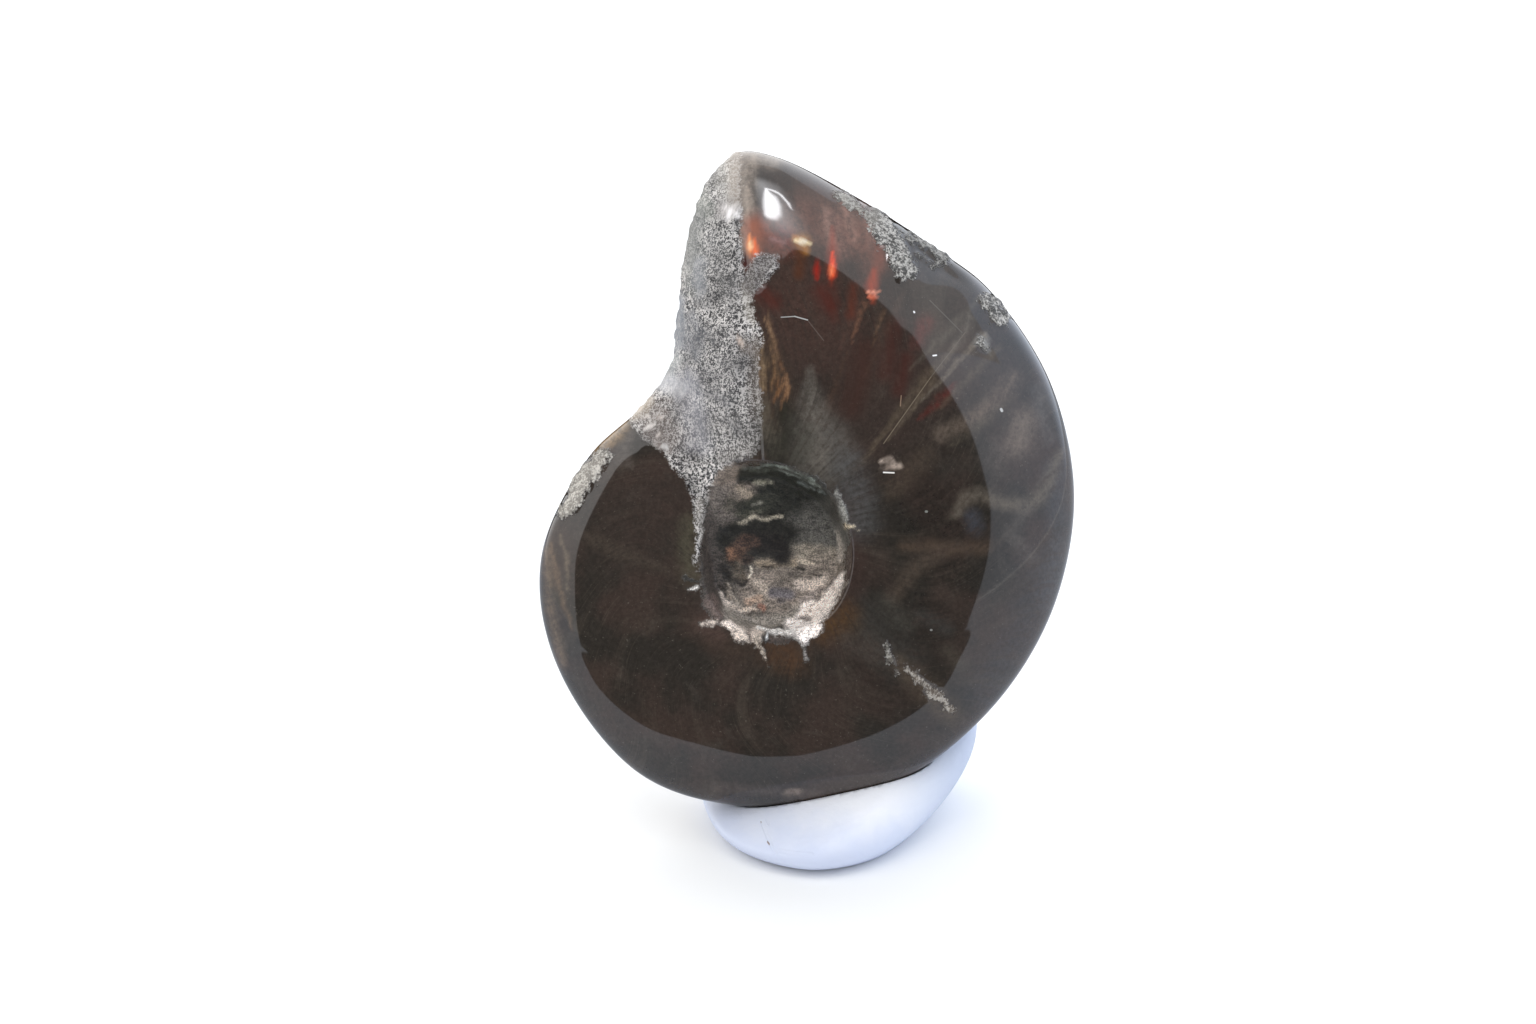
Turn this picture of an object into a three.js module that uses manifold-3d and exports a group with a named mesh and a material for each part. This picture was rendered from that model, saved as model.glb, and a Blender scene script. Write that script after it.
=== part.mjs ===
// An opalescent ammonite fossil, polished whole, leaning back in a wad of white putty.
// Millimetres, +Z up, the front face towards -Y, the wad's flat underside on z = 0.
// The coil is drawn in its own plane first: x to the right, v up, and n out of the front face,
// with the middle of the coil at the origin. Growth angles run anticlockwise from +x, in degrees.
import * as THREE from "three";
import { mergeVertices } from "three/addons/utils/BufferGeometryUtils.js";
import Module from "manifold-3d";

// The fossil
const leanBack = 20; // degrees that the coil's plane leans back from upright
const coilHeight = 32.9; // the middle of the coil above the table
const outline = [
  [-3.8, 51.7], [0.9, 51.0], [10.8, 46.0], [21.2, 39.3], [27.3, 34.5],
  [34.9, 23.0], [37.9, 8.4], [34.9, -6.2], [26.7, -18.7], [14.1, -27.8],
  [-2.4, -30.1], [-16.3, -26.0], [-26.7, -12.5], [-28.7, 1.0], [-22.7, 13.7],
  [-15.8, 20.3], [-12.1, 26.3], [-11.7, 32.0], [-9.9, 42.4], [-7.2, 49.1],
]; // x, v round the venter, from the tip of the mouth clockwise
const mouthAngle = 455; // growth angle at which the shell ends and the bare stone begins
const stoneEnd = 498; // growth angle at which the stone in the mouth has run out on the older whorl
const seamEnd = 535; // and at which it has run out in the umbilicus
const mouthHalfThickness = 12.5;
const thicknessPerTurn = 2.1; // how many times thicker the shell grows in one turn
const radiusPerTurn = 2.05; // the same for its outer radius, where the outline doesn't show it
const seam = [
  [138, 6.8], [180, 6.9], [270, 7.0], [360, 8.0], [420, 9.6],
  [455, 10.7], [480, 11.2], [507, 8.8], [535, 6.9],
]; // growth angle and radius of the umbilical seam, the last three on the stone in the mouth
const seamPerTurn = 1.9; // for the whorls inside these
const wallShare = 0.24; // width of the umbilical wall, as a share of the seam's radius
const innerWallShare = 0.7; // the same for the whorls inside, which the stone rounds off
const flankPower = 2.4; // how flat the flanks are before they turn over the venter
const stoneInUmbilicus = { front: 4.1, back: 3.0 }; // half-thickness of the stone that fills it
const shellLip = 0.45; // the shell stands this far above the bare stone
const lipAngle = 93; // where the shell's edge runs up to the tip
const wornShoulder = { x: 21.5, v: 37.5, reach: 6.5, depth: 0.7 }; // shell lost near the top right

// The putty
const puttyBase = [
  [-5.5, -9], [-2, -15], [5, -18], [12, -16], [17.5, -9],
  [20, 0], [18, 9], [9, 13.5], [-2, 10], [-6, 1],
]; // x, y of the flat underside's edge, from the coil's middle
const puttyRim = [
  [-7.8, -9, 2.6], [-3.6, -16.4, 2.2], [5, -20.4, 1.8], [13, -18, 2.6], [21, -10, 5.5],
  [26.3, -1, 10], [25.5, 8, 10], [14.5, 17, 7], [-1, 14, 5], [-8.5, 3, 4],
]; // x, y, z of its widest line
const puttyTop = { height: 5.6, risePerX: 0.27, risePerY: 0.24, atX: -4, atY: -10 };
const pressGap = 0.3; // between the fossil and the hollow that it is pressed into

const rad = THREE.MathUtils.degToRad;
const smoothstep = THREE.MathUtils.smoothstep;
const lerp = THREE.MathUtils.lerp;

function closedCurve(points) {
  const corners = points.map(([x, y, z = 0]) => new THREE.Vector3(x, y, z));
  return new THREE.CatmullRomCurve3(corners, true, "centripetal");
}

// One closed mesh from rings of points: a pole, rings of equal count, and a pole again.
function ringMesh(firstPole, rings, lastPole) {
  const count = rings[0].length;
  const points = [firstPole, ...rings.flat(), lastPole];
  const triangles = [];
  const at = (ring, i) => 1 + ring * count + (i % count);
  for (let i = 0; i < count; i++) {
    triangles.push(0, at(0, i + 1), at(0, i));
    for (let ring = 0; ring < rings.length - 1; ring++) {
      const [a, b] = [at(ring, i), at(ring, i + 1)];
      const [c, d] = [at(ring + 1, i), at(ring + 1, i + 1)];
      triangles.push(a, b, d, a, d, c);
    }
    triangles.push(points.length - 1, at(rings.length - 1, i), at(rings.length - 1, i + 1));
  }
  const geometry = new THREE.BufferGeometry().setFromPoints(points);
  geometry.setIndex(triangles);
  geometry.computeVertexNormals();
  return geometry;
}

// The whorls, by growth angle
const outlineRadii = closedCurve(outline).getSpacedPoints(720);

function outlineRadius(angle) {
  const [dx, dv] = [Math.cos(rad(angle)), Math.sin(rad(angle))];
  for (let i = 0; i < outlineRadii.length - 1; i++) {
    const [p, q] = [outlineRadii[i], outlineRadii[i + 1]];
    const [sideP, sideQ] = [dx * p.y - dv * p.x, dx * q.y - dv * q.x];
    if (sideP * sideQ > 0 || p.x * dx + p.y * dv < 0) continue;
    const share = sideP / (sideP - sideQ || 1);
    return Math.hypot(lerp(p.x, q.x, share), lerp(p.y, q.y, share));
  }
  throw new Error("no outline at " + angle);
}

const oldestShown = stoneEnd - 360;
const oldestRadius = outlineRadius(oldestShown);

function whorlRadius(growth) {
  if (growth >= oldestShown) return outlineRadius(growth);
  return oldestRadius * radiusPerTurn ** ((growth - oldestShown) / 360);
}

function whorlHalfThickness(growth) {
  const shell = (angle) => mouthHalfThickness * thicknessPerTurn ** ((angle - mouthAngle) / 360);
  if (growth <= mouthAngle) return shell(growth);
  return lerp(shell(mouthAngle), shell(oldestShown), smoothstep(growth, mouthAngle, stoneEnd));
}

function seamRadius(growth) {
  const [firstAngle, firstRadius] = seam[0];
  if (growth < firstAngle) return firstRadius * seamPerTurn ** ((growth - firstAngle) / 360);
  const next = Math.max(1, seam.findIndex(([angle]) => angle >= growth));
  const [[fromAngle, fromRadius], [toAngle, toRadius]] = [seam[next - 1], seam[next]];
  return lerp(fromRadius, toRadius, (growth - fromAngle) / (toAngle - fromAngle));
}

function flankHeight(r, growth) {
  const radiusShare = Math.min(1, r / whorlRadius(growth));
  return whorlHalfThickness(growth) * Math.sqrt(1 - radiusShare ** flankPower);
}

// Half the fossil's thickness at radius r in direction angle, from 0 to 360, where each whorl
// laps over the one before it, down to the stone in the umbilicus.
function halfThickness(r, angle, stone) {
  const outer = angle + 360 <= seamEnd ? angle + 360 : angle;
  let height = stone;
  for (const growth of [outer - 720, outer - 360]) {
    const foot = seamRadius(growth);
    const onWhorl = smoothstep(r, foot, foot * (1 + innerWallShare));
    height = lerp(height, Math.max(stone, flankHeight(r, growth)), onWhorl);
  }
  const foot = seamRadius(outer);
  const flank = flankHeight(r, outer > stoneEnd ? outer - 360 : outer);
  return lerp(height, flank, smoothstep(r, foot, foot * (1 + wallShare)));
}

// The step down from the shell to the bare stone in the mouth, and the worn place.
function relief(x, v, r, angle) {
  const onStone = smoothstep(angle, lipAngle, lipAngle + 2) * (1 - smoothstep(angle, 125, 138));
  const seamThere = seamRadius(mouthAngle);
  const fromWorn = Math.hypot(x - wornShoulder.x, v - wornShoulder.v);
  return (
    -shellLip * onStone * smoothstep(r, seamThere, seamThere * 1.3) -
    wornShoulder.depth * (1 - smoothstep(fromWorn, wornShoulder.reach * 0.6, wornShoulder.reach))
  );
}

// Radii of the rings from the middle to the outline, in one direction.
const umbilicusShares = [0.16, 0.32, 0.44, 0.54, 0.63, 0.72, 0.81, 0.9, 1.0];
const wallShares = [0.35, 0.7, 1.15];
const flankShares = [0.2, 0.38, 0.55, 0.7, 0.83, 0.92, 0.98];

function ringRadii(angle, edge) {
  const foot = seamRadius(angle + 360 <= seamEnd ? angle + 360 : angle);
  const wallTop = foot * (1 + wallShare * wallShares.at(-1));
  return [
    ...umbilicusShares.map((share) => foot * share),
    ...wallShares.map((share) => foot * (1 + wallShare * share)),
    ...flankShares.map((share) => lerp(wallTop, edge, share)),
  ];
}

const columns = 90; // round the outline

function ammoniteGeometry() {
  const edge = closedCurve(outline).getSpacedPoints(columns).slice(0, columns);
  edge.reverse(); // anticlockwise seen from the front
  const radiiCount = umbilicusShares.length + wallShares.length + flankShares.length;
  const front = Array.from({ length: radiiCount }, () => []);
  const back = Array.from({ length: radiiCount }, () => []);
  for (const rim of edge) {
    const edgeRadius = Math.hypot(rim.x, rim.y);
    const angle = (THREE.MathUtils.radToDeg(Math.atan2(rim.y, rim.x)) + 360) % 360;
    ringRadii(angle, edgeRadius).forEach((r, ring) => {
      const [x, v] = [(rim.x * r) / edgeRadius, (rim.y * r) / edgeRadius];
      const lowered = smoothstep(edgeRadius - r, 0, 2.5) * relief(x, v, r, angle); // not on the edge
      const toFront = halfThickness(r, angle, stoneInUmbilicus.front) + lowered;
      const toBack = halfThickness(r, angle, stoneInUmbilicus.back) + lowered;
      front[ring].push(new THREE.Vector3(x, -toFront, v));
      back[ring].push(new THREE.Vector3(x, toBack, v));
    });
  }
  const venter = edge.map((rim) => new THREE.Vector3(rim.x, 0, rim.y));
  const rings = [...back, venter, ...front.reverse()];
  const backMiddle = new THREE.Vector3(0, stoneInUmbilicus.back, 0);
  const frontMiddle = new THREE.Vector3(0, -stoneInUmbilicus.front, 0);
  return ringMesh(backMiddle, rings, frontMiddle);
}

// The wad of putty, before the fossil is pressed in
const puttyColumns = 44;
const puttyMiddle = [7, -2];

function puttyTopAt(x, y) {
  return puttyTop.height + puttyTop.risePerX * (x - puttyTop.atX) + puttyTop.risePerY * (y - puttyTop.atY);
}

function puttyGeometry() {
  const base = closedCurve(puttyBase).getPoints(puttyColumns).slice(0, puttyColumns);
  const rim = closedCurve(puttyRim).getPoints(puttyColumns).slice(0, puttyColumns);
  const middle = new THREE.Vector3(...puttyMiddle, 0);
  const rings = [base];
  for (const rise of [0.3, 0.65]) {
    rings.push(base.map((foot, i) => {
      const side = new THREE.Vector3().lerpVectors(foot, rim[i], Math.sin(rise * Math.PI / 2));
      return side.setZ(rim[i].z * rise);
    }));
  }
  for (const turn of [0, 0.16, 0.32, 0.48, 0.64, 0.8, 0.9]) {
    rings.push(rim.map((wide) => {
      const inwards = 1 - Math.cos(turn * Math.PI / 2);
      const top = new THREE.Vector3().lerpVectors(wide, middle, inwards);
      const crown = puttyTopAt(top.x, top.y);
      return top.setZ(lerp(wide.z, crown, Math.sin(turn * Math.PI / 2) ** 0.8));
    }));
  }
  const top = new THREE.Vector3(...puttyMiddle, puttyTopAt(...puttyMiddle));
  return ringMesh(middle, rings, top);
}

// Solids for the cut
const wasm = await Module();
wasm.setup();

function solidOf(geometry) {
  const bare = geometry.clone();
  for (const name of ["normal", "uv"]) bare.deleteAttribute(name);
  const merged = mergeVertices(bare, 1e-3);
  return new wasm.Manifold(new wasm.Mesh({
    numProp: 3,
    vertProperties: merged.getAttribute("position").array,
    triVerts: new Uint32Array(merged.index.array),
  }));
}

function geometryOf(solid) {
  const { vertProperties, triVerts } = solid.getMesh();
  const geometry = new THREE.BufferGeometry();
  geometry.setAttribute("position", new THREE.BufferAttribute(vertProperties, 3));
  geometry.setIndex(new THREE.BufferAttribute(triVerts, 1));
  geometry.computeVertexNormals();
  return geometry;
}

function grown(geometry, by) {
  const result = geometry.clone();
  const [position, normal] = [result.getAttribute("position"), result.getAttribute("normal")];
  for (let i = 0; i < position.count; i++) {
    position.setXYZ(
      i,
      position.getX(i) + by * normal.getX(i),
      position.getY(i) + by * normal.getY(i),
      position.getZ(i) + by * normal.getZ(i),
    );
  }
  return result;
}

// The fossil on its rest
const leaning = new THREE.Matrix4()
  .makeRotationX(rad(-leanBack))
  .setPosition(0, 0, coilHeight);
const fossil = ammoniteGeometry();
const press = grown(fossil, pressGap).applyMatrix4(leaning);
const wad = solidOf(puttyGeometry()).subtract(solidOf(press));

const ammonite = new THREE.Mesh(
  fossil,
  new THREE.MeshStandardMaterial({ color: 0x3a2b26, roughness: 0.15, metalness: 0 }),
);
ammonite.name = "ammonite";
ammonite.rotation.x = rad(-leanBack);
ammonite.position.z = coilHeight;

const puttyRest = new THREE.Mesh(
  geometryOf(wad),
  new THREE.MeshStandardMaterial({ color: 0xe4e8fb, roughness: 0.45, metalness: 0 }),
);
puttyRest.name = "putty_rest";

const part = new THREE.Group();
part.add(ammonite, puttyRest);

// The origin is under the middle of the whole object.
const middle = new THREE.Box3().setFromObject(part, true).getCenter(new THREE.Vector3());
part.position.set(-middle.x, -middle.y, 0);

export default part;
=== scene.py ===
# Polished opalescent ammonite, leaning back in a wad of white putty on a white table.
# Sizes are in millimetres and become metres as each mesh is made.
from math import cos, pi, radians, sin

import bpy
import numpy as np
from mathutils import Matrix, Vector, noise


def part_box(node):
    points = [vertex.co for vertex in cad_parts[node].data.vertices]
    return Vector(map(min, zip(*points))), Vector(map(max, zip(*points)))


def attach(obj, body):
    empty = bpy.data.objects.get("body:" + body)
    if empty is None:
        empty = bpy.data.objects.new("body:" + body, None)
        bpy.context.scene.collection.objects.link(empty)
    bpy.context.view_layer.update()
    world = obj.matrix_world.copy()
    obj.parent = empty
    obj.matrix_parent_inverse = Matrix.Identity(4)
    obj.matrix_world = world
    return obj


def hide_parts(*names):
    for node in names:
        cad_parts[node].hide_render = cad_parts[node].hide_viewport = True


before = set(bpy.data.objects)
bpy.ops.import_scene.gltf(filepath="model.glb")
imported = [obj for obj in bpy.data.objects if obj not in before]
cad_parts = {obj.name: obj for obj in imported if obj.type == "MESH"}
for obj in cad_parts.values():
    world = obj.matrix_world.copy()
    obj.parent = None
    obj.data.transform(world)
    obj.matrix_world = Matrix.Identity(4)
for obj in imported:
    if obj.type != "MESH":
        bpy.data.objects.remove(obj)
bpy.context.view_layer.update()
mm = 0.001
print("frame loaded")


# Curves and small sums that several pieces use

def smoothStep(low, high, value):
    t = np.clip((value - low) / (high - low), 0, 1)
    return t * t * (3 - 2 * t)


def blend(a, b, share):
    return a + (b - a) * share


def closedCurve(corners, count, perSide=60):
    # a smooth closed line through the corners, as count evenly spaced points
    p1 = np.array(corners, float)
    p0, p2, p3 = np.roll(p1, 1, 0), np.roll(p1, -1, 0), np.roll(p1, -2, 0)
    sides = ((p0, p1), (p1, p2), (p2, p3))
    d0, d1, d2 = (np.sqrt(np.linalg.norm(b - a, axis=1))[:, None] for a, b in sides)
    start = ((p1 - p0) / d0 - (p2 - p0) / (d0 + d1) + (p2 - p1) / d1) * d1
    stop = ((p2 - p1) / d1 - (p3 - p1) / (d1 + d2) + (p3 - p2) / d2) * d1
    t = np.linspace(0, 1, perSide, endpoint=False)[None, :, None]
    shape = (
        (2 * t**3 - 3 * t**2 + 1) * p1[:, None]
        + (t**3 - 2 * t**2 + t) * start[:, None]
        + (3 * t**2 - 2 * t**3) * p2[:, None]
        + (t**3 - t**2) * stop[:, None]
    )
    line = shape.reshape(-1, p1.shape[1])
    line = np.vstack([line, line[:1]])
    along = np.concatenate([[0], np.cumsum(np.linalg.norm(np.diff(line, axis=0), axis=1))])
    wanted = np.linspace(0, along[-1], count, endpoint=False)
    return np.stack([np.interp(wanted, along, line[:, k]) for k in range(p1.shape[1])], axis=1)


def sRgb(r, g, b):
    # a colour as a paint program shows it, 0 to 255, to the linear one that a shader takes
    shares = (r / 255, g / 255, b / 255)
    return tuple(c / 12.92 if c <= 0.04045 else ((c + 0.055) / 1.055) ** 2.4 for c in shares)


def stretches(x, v, path, width):
    # for each straight stretch of a stroke, its half-width beside the points and how far inside it they lie;
    # a third number at a corner narrows the stroke there
    corners = [(*corner, 1)[:3] for corner in path]
    for (ax, av, a), (bx, bv, b) in zip(corners, corners[1:]):
        dx, dv = bx - ax, bv - av
        t = np.clip(((x - ax) * dx + (v - av) * dv) / max(dx * dx + dv * dv, 1e-9), 0, 1)
        here = width * blend(a, b, t)
        yield here, here - np.hypot(x - ax - t * dx, v - av - t * dv)


def strokeShare(x, v, path, width, fuzz):
    # how much of a soft stroke lies on each point
    parts = stretches(x, v, path, width)
    return np.max([smoothStep(-1, 1, inside / (0.12 + fuzz * here)) for here, inside in parts], axis=0)


def deepest(x, v, strokes):
    # how far inside the nearest stroke each point is
    return np.max([inside for stroke in strokes for _, inside in stretches(x, v, *stroke[:2])], axis=0)


def insideDistance(x, v, corners):
    # distance to the closed outline, above 0 inside it
    inside = np.zeros(x.shape, bool)
    for (ax, av), (bx, bv) in zip(corners, corners[1:] + corners[:1]):
        if av == bv:
            continue
        crosses = (av > v) != (bv > v)
        inside ^= crosses & (x < (bx - ax) * (v - av) / (bv - av) + ax)
    distance = -deepest(x, v, [(corners + corners[:1], 0)])
    return np.where(inside, distance, -distance)


def lumps(points, size, octaves, seed):
    # soft random relief, from about -1 to 1
    shift = Vector((seed * 7.3, seed * 3.1, seed * 5.7))
    return np.array([noise.fractal(Vector(p) / size + shift, 0.6, 2.1, octaves) for p in points])


def newObject(name, data):
    made = bpy.data.objects.new(name, data)
    bpy.context.scene.collection.objects.link(made)
    return made


def ringMesh(name, firstPole, rings, lastPole):
    # one closed mesh: a pole, rings of equal count, and a pole again
    count = len(rings[0])
    points = np.vstack([[firstPole], *rings, [lastPole]])
    i = np.arange(count)
    after = (i + 1) % count
    faces = [(0, 1 + b, 1 + a) for a, b in zip(i.tolist(), after.tolist())]
    for ring in range(len(rings) - 1):
        low, high = 1 + ring * count, 1 + (ring + 1) * count
        faces += np.stack([low + i, low + after, high + after, high + i], 1).tolist()
    last, top = len(points) - 1, 1 + (len(rings) - 1) * count
    faces += [(last, top + a, top + b) for a, b in zip(i.tolist(), after.tolist())]
    mesh = bpy.data.meshes.new(name)
    mesh.from_pydata((points * mm).tolist(), [], faces)
    mesh.polygons.foreach_set("use_smooth", [True] * len(mesh.polygons))
    mesh.update()
    return newObject(name, mesh)


def vertexNormals(piece):
    found = np.empty(len(piece.data.vertices) * 3)
    piece.data.vertex_normals.foreach_get("vector", found)
    return found.reshape(-1, 3)


def readPoints(piece):
    found = np.empty(len(piece.data.vertices) * 3)
    piece.data.vertices.foreach_get("co", found)
    return found.reshape(-1, 3) / mm


def writePoints(piece, points):
    piece.data.vertices.foreach_set("co", (points * mm).ravel())
    piece.data.update()


def store(piece, name, values):
    kind = "FLOAT" if values.ndim == 1 else "FLOAT_COLOR"
    layer = piece.data.attributes.new(name, kind, "POINT")
    layer.data.foreach_set("value" if kind == "FLOAT" else "color", values.ravel())


studio = {
    "light": 0.2,  # brightness of the white surroundings, and what is added to it
    "overhead": 0.85,
    "right": 0.66,
    "left": 0.78,
    "behind": 1.7,
    "rightTint": (0.85, 0.95, 1.13),
    "tableColour": (0.935, 0.93, 0.912),
    "tableReach": 30000,  # from its middle to each side
    "lens": 50,
    "sensor": 36,
    "nearest": 10,  # what the camera still sees
    "distance": 266.7,  # from the coil's plane
    "aim": (-0.35, 6.75),  # x, v of the picture's middle
    "cardDistance": 240,
    "card": [
        (-370, -260), (185, -250), (216, -184), (188, -112), (206, -44),
        (196, 20), (180, 68), (160, 112), (140, 162), (141, 195),
        (137, 219), (124, 238), (100, 239), (70, 205), (8, 165),
        (-100, 195), (-184, 220), (-214, 226), (-241, 195), (-257, 150),
        (-271, 106), (-281, 40), (-286, -20), (-300, -60), (-322, -105),
    ],  # x, v of the dark room's edge, as the polish shows it
    "darkTable": [
        (-229, -186), (-102, -76), (-80, -63), (-49, -58), (-31, -57),
        (-16, -50), (-9, -43), (3, -41), (13, -45), (27, -51),
        (51, -62), (83, -100), (178, -250), (190, -600), (-420, -600),
    ],  # and x, y of where the table goes dark in front
    "darkTone": (0.002, 0.002, 0.002),
    "greyTable": {"reach": 3000, "tone": (0.52, 0.55, 0.6)},  # the table as the polish shows it
    "aboveTable": {"dark": 0.4, "grey": 0.2},
    "nose": (0, 44, 7),  # x, v, n of the place that the lamp shines on, and the way from there to the lamp
    "lamp": {"toward": (0.19, 0.79, 0.58), "away": 350, "across": 26, "up": 62, "shine": 14},
    "lampCard": {"across": 460, "cells": 150, "colour": (0.97, 0.97, 1.0, 1)},
    # the lamp as the polish shows it, drawn on its card: path, half-width, softness, shine
    "glints": [
        ([(4, -34), (20, -6), (38, 40), (50, 70)], 27, 1.2, 3.8),
        ([(48, 52, 0.2), (36, 30, 0.7), (20, 6, 1), (6, -12, 1), (-5, -22, 0.7)], 13, 0.8, 17),
        ([(50, 56, 0.5), (61, 48, 0.9), (66, 34, 1), (65, 10, 0.8), (57, -9, 0.3)], 4.5, 0.6, 13),
    ],
}

# The fossil. x runs right and v up in the coil's plane, n out of it, from the coil's middle.
# Growth angles run anticlockwise from +x, in degrees, as seen from the front.

fossil = {
    "leanBack": 20,
    "coilHeight": 32.9,
    "outline": [
        (-3.8, 51.7), (0.9, 51.0), (10.8, 46.0), (21.2, 39.3), (27.3, 34.5),
        (34.9, 23.0), (37.9, 8.4), (34.9, -6.2), (26.7, -18.7), (14.1, -27.8),
        (-2.4, -30.1), (-16.3, -26.0), (-26.7, -12.5), (-28.7, 1.0), (-22.7, 13.7),
        (-15.8, 20.3), (-12.1, 26.3), (-11.7, 32.0), (-9.9, 42.4), (-7.2, 49.1),
    ],
    "mouthAngle": 455,  # the shell ends here and the bare stone begins
    "stoneEnd": 498,  # the stone in the mouth has run out on the older whorl
    "seamEnd": 535,  # and in the umbilicus
    "mouthHalfThickness": 12.5,
    "thicknessPerTurn": 2.1,
    "radiusPerTurn": 2.05,
    "seam": [
        (138, 6.8), (180, 6.9), (270, 7.0), (360, 8.0), (420, 9.6),
        (455, 10.7), (480, 11.2), (507, 8.8), (535, 6.9),
    ],
    "seamPerTurn": 1.9,
    "wallShare": 0.24,
    "innerWallShare": 0.7,
    "flankPower": 2.4,
    "stoneInUmbilicus": {"front": 4.1, "back": 3.0},
    "shellLip": 0.45,  # the step down to the bare stone, from and to these angles
    "lipAngle": 93,
    "lipWidth": 2,
    "lipFade": (125, 138),
    "wornShoulder": {"x": 21.5, "v": 37.5, "reach": 6.5, "depth": 0.7},
    "columns": 560,
    # rings in the umbilicus, up its wall and over the flank, and how they crowd towards the rim
    "rings": {"front": (40, 12, 80, 1.5), "back": (16, 5, 22, 1.8)},
    # the hidden side has the front's strokes, turned about the middle or with the stone's upside down
    "turnBehind": 150,
    "stoneMiddle": 32,
    "fadeBehind": (1, -2.5),  # n where they begin to show, and where they are alone
    # how far the edges of the strokes waver and over what length, and the same for the whole crust
    "edgeWaves": (0.25, 1.5),
    "crustWaves": (0.9, 2.6),
    # the growth lines' first angle, the radius that they begin at, their spacing and their bend
    "growthLines": {"from": 115, "inner": 10, "degrees": 9, "bend": (1.2, 5), "across": 1.6},
    # height of the low relief: the shell's, and the broad and the fine one of stone, infill and crust
    "relief": {"shell": 0.02, "stone": (0.34, 0.1), "infill": (0.45, 0.12), "crust": (0.16, 0.16)},
}

outlineLine = closedCurve(fossil["outline"], 2000)
outlineAngles = np.degrees(np.arctan2(outlineLine[:, 1], outlineLine[:, 0])) % 360
outlineOrder = np.argsort(outlineAngles)
outlineRadii = np.hypot(*outlineLine.T)


def outlineRadius(angle):
    return np.interp(angle % 360, outlineAngles[outlineOrder], outlineRadii[outlineOrder], period=360)


oldestShown = fossil["stoneEnd"] - 360


def whorlRadius(growth):
    inner = outlineRadius(np.array(oldestShown)) * fossil["radiusPerTurn"] ** ((growth - oldestShown) / 360)
    return np.where(growth >= oldestShown, outlineRadius(growth), inner)


def whorlHalfThickness(growth):
    def shell(angle):
        turns = (angle - fossil["mouthAngle"]) / 360
        return fossil["mouthHalfThickness"] * fossil["thicknessPerTurn"] ** turns

    closing = smoothStep(fossil["mouthAngle"], fossil["stoneEnd"], growth)
    return np.where(
        growth <= fossil["mouthAngle"],
        shell(growth),
        blend(shell(fossil["mouthAngle"]), shell(oldestShown), closing),
    )


seamAngles = np.arange(100, 536)
seamLine = np.interp(np.arange(88, 548), *np.array(fossil["seam"]).T)
seamLine = np.convolve(seamLine, np.ones(25) / 25, "valid")  # rounds off the list's corners


def seamRadius(growth):
    innermost = fossil["seam"][0][0]
    inner = seamLine[innermost - seamAngles[0]] * fossil["seamPerTurn"] ** ((growth - innermost) / 360)
    return np.where(growth < innermost, inner, np.interp(growth, seamAngles, seamLine))


def flankHeight(r, growth):
    share = np.minimum(1, r / whorlRadius(growth))
    return whorlHalfThickness(growth) * np.sqrt(np.maximum(0, 1 - share ** fossil["flankPower"]))


def outerGrowth(angle):
    return np.where(angle + 360 <= fossil["seamEnd"], angle + 360, angle)


def halfThickness(r, angle, stone):
    # each whorl laps over the one before it, down to the stone in the umbilicus
    outer = outerGrowth(angle)
    height = np.full(r.shape, float(stone))
    for growth in (outer - 720, outer - 360):
        foot = seamRadius(growth)
        onWhorl = smoothStep(foot, foot * (1 + fossil["innerWallShare"]), r)
        height = blend(height, np.maximum(stone, flankHeight(r, growth)), onWhorl)
    foot = seamRadius(outer)
    flank = flankHeight(r, np.where(outer > fossil["stoneEnd"], outer - 360, outer))
    return blend(height, flank, smoothStep(foot, foot * (1 + fossil["wallShare"]), r))


def ringRadii(angle, edge, counts):
    inUmbilicus, upWall, overFlank, crowding = counts
    foot = seamRadius(outerGrowth(angle))[:, None]
    wallTop = foot * (1 + 1.15 * fossil["wallShare"])
    inner = foot * (np.arange(1, inUmbilicus + 1) / inUmbilicus) ** 0.9
    wall = blend(foot, wallTop, np.arange(1, upWall + 1) / upWall)
    flank = blend(wallTop, edge[:, None], 1 - (1 - np.arange(1, overFlank) / overFlank) ** crowding)
    return np.hstack([inner, wall, flank])


def toWorld(x, v, n):
    # from the coil's plane to the leaning fossil, still with the coil's middle at x = y = 0
    lean = radians(fossil["leanBack"])
    return np.stack(
        [x, v * np.sin(lean) - n * np.cos(lean), fossil["coilHeight"] + v * np.cos(lean) + n * np.sin(lean)],
        axis=-1,
    )


def fossilMesh(name, columns, ringCounts):
    rim = closedCurve(fossil["outline"], columns)[::-1]
    edge = np.hypot(*rim.T)
    angle = np.degrees(np.arctan2(rim[:, 1], rim[:, 0])) % 360
    sides = {}
    for side, sign in (("front", 1), ("back", -1)):
        stone = fossil["stoneInUmbilicus"][side]
        r = ringRadii(angle, edge, ringCounts[side])
        share = r / edge[:, None]
        angles = np.broadcast_to(angle[:, None], r.shape)
        height = halfThickness(r, angles, stone)
        height += smoothStep(0, 2.5, edge[:, None] - r) * steps(r, angles)
        x, v = rim[:, :1] * share, rim[:, 1:] * share
        sides[side] = [np.stack([x[:, k], v[:, k], sign * height[:, k]], 1) for k in range(r.shape[1])]
    venter = np.column_stack([rim, np.zeros(columns)])
    rings = [*sides["back"], venter, *sides["front"][::-1]]
    inside = fossil["stoneInUmbilicus"]
    flat = np.vstack([[[0, 0, -inside["back"]]], *rings, [[0, 0, inside["front"]]]])
    world = toWorld(*flat.T)
    return ringMesh(name, world[0], np.split(world[1:-1], len(rings)), world[-1]), flat


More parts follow.
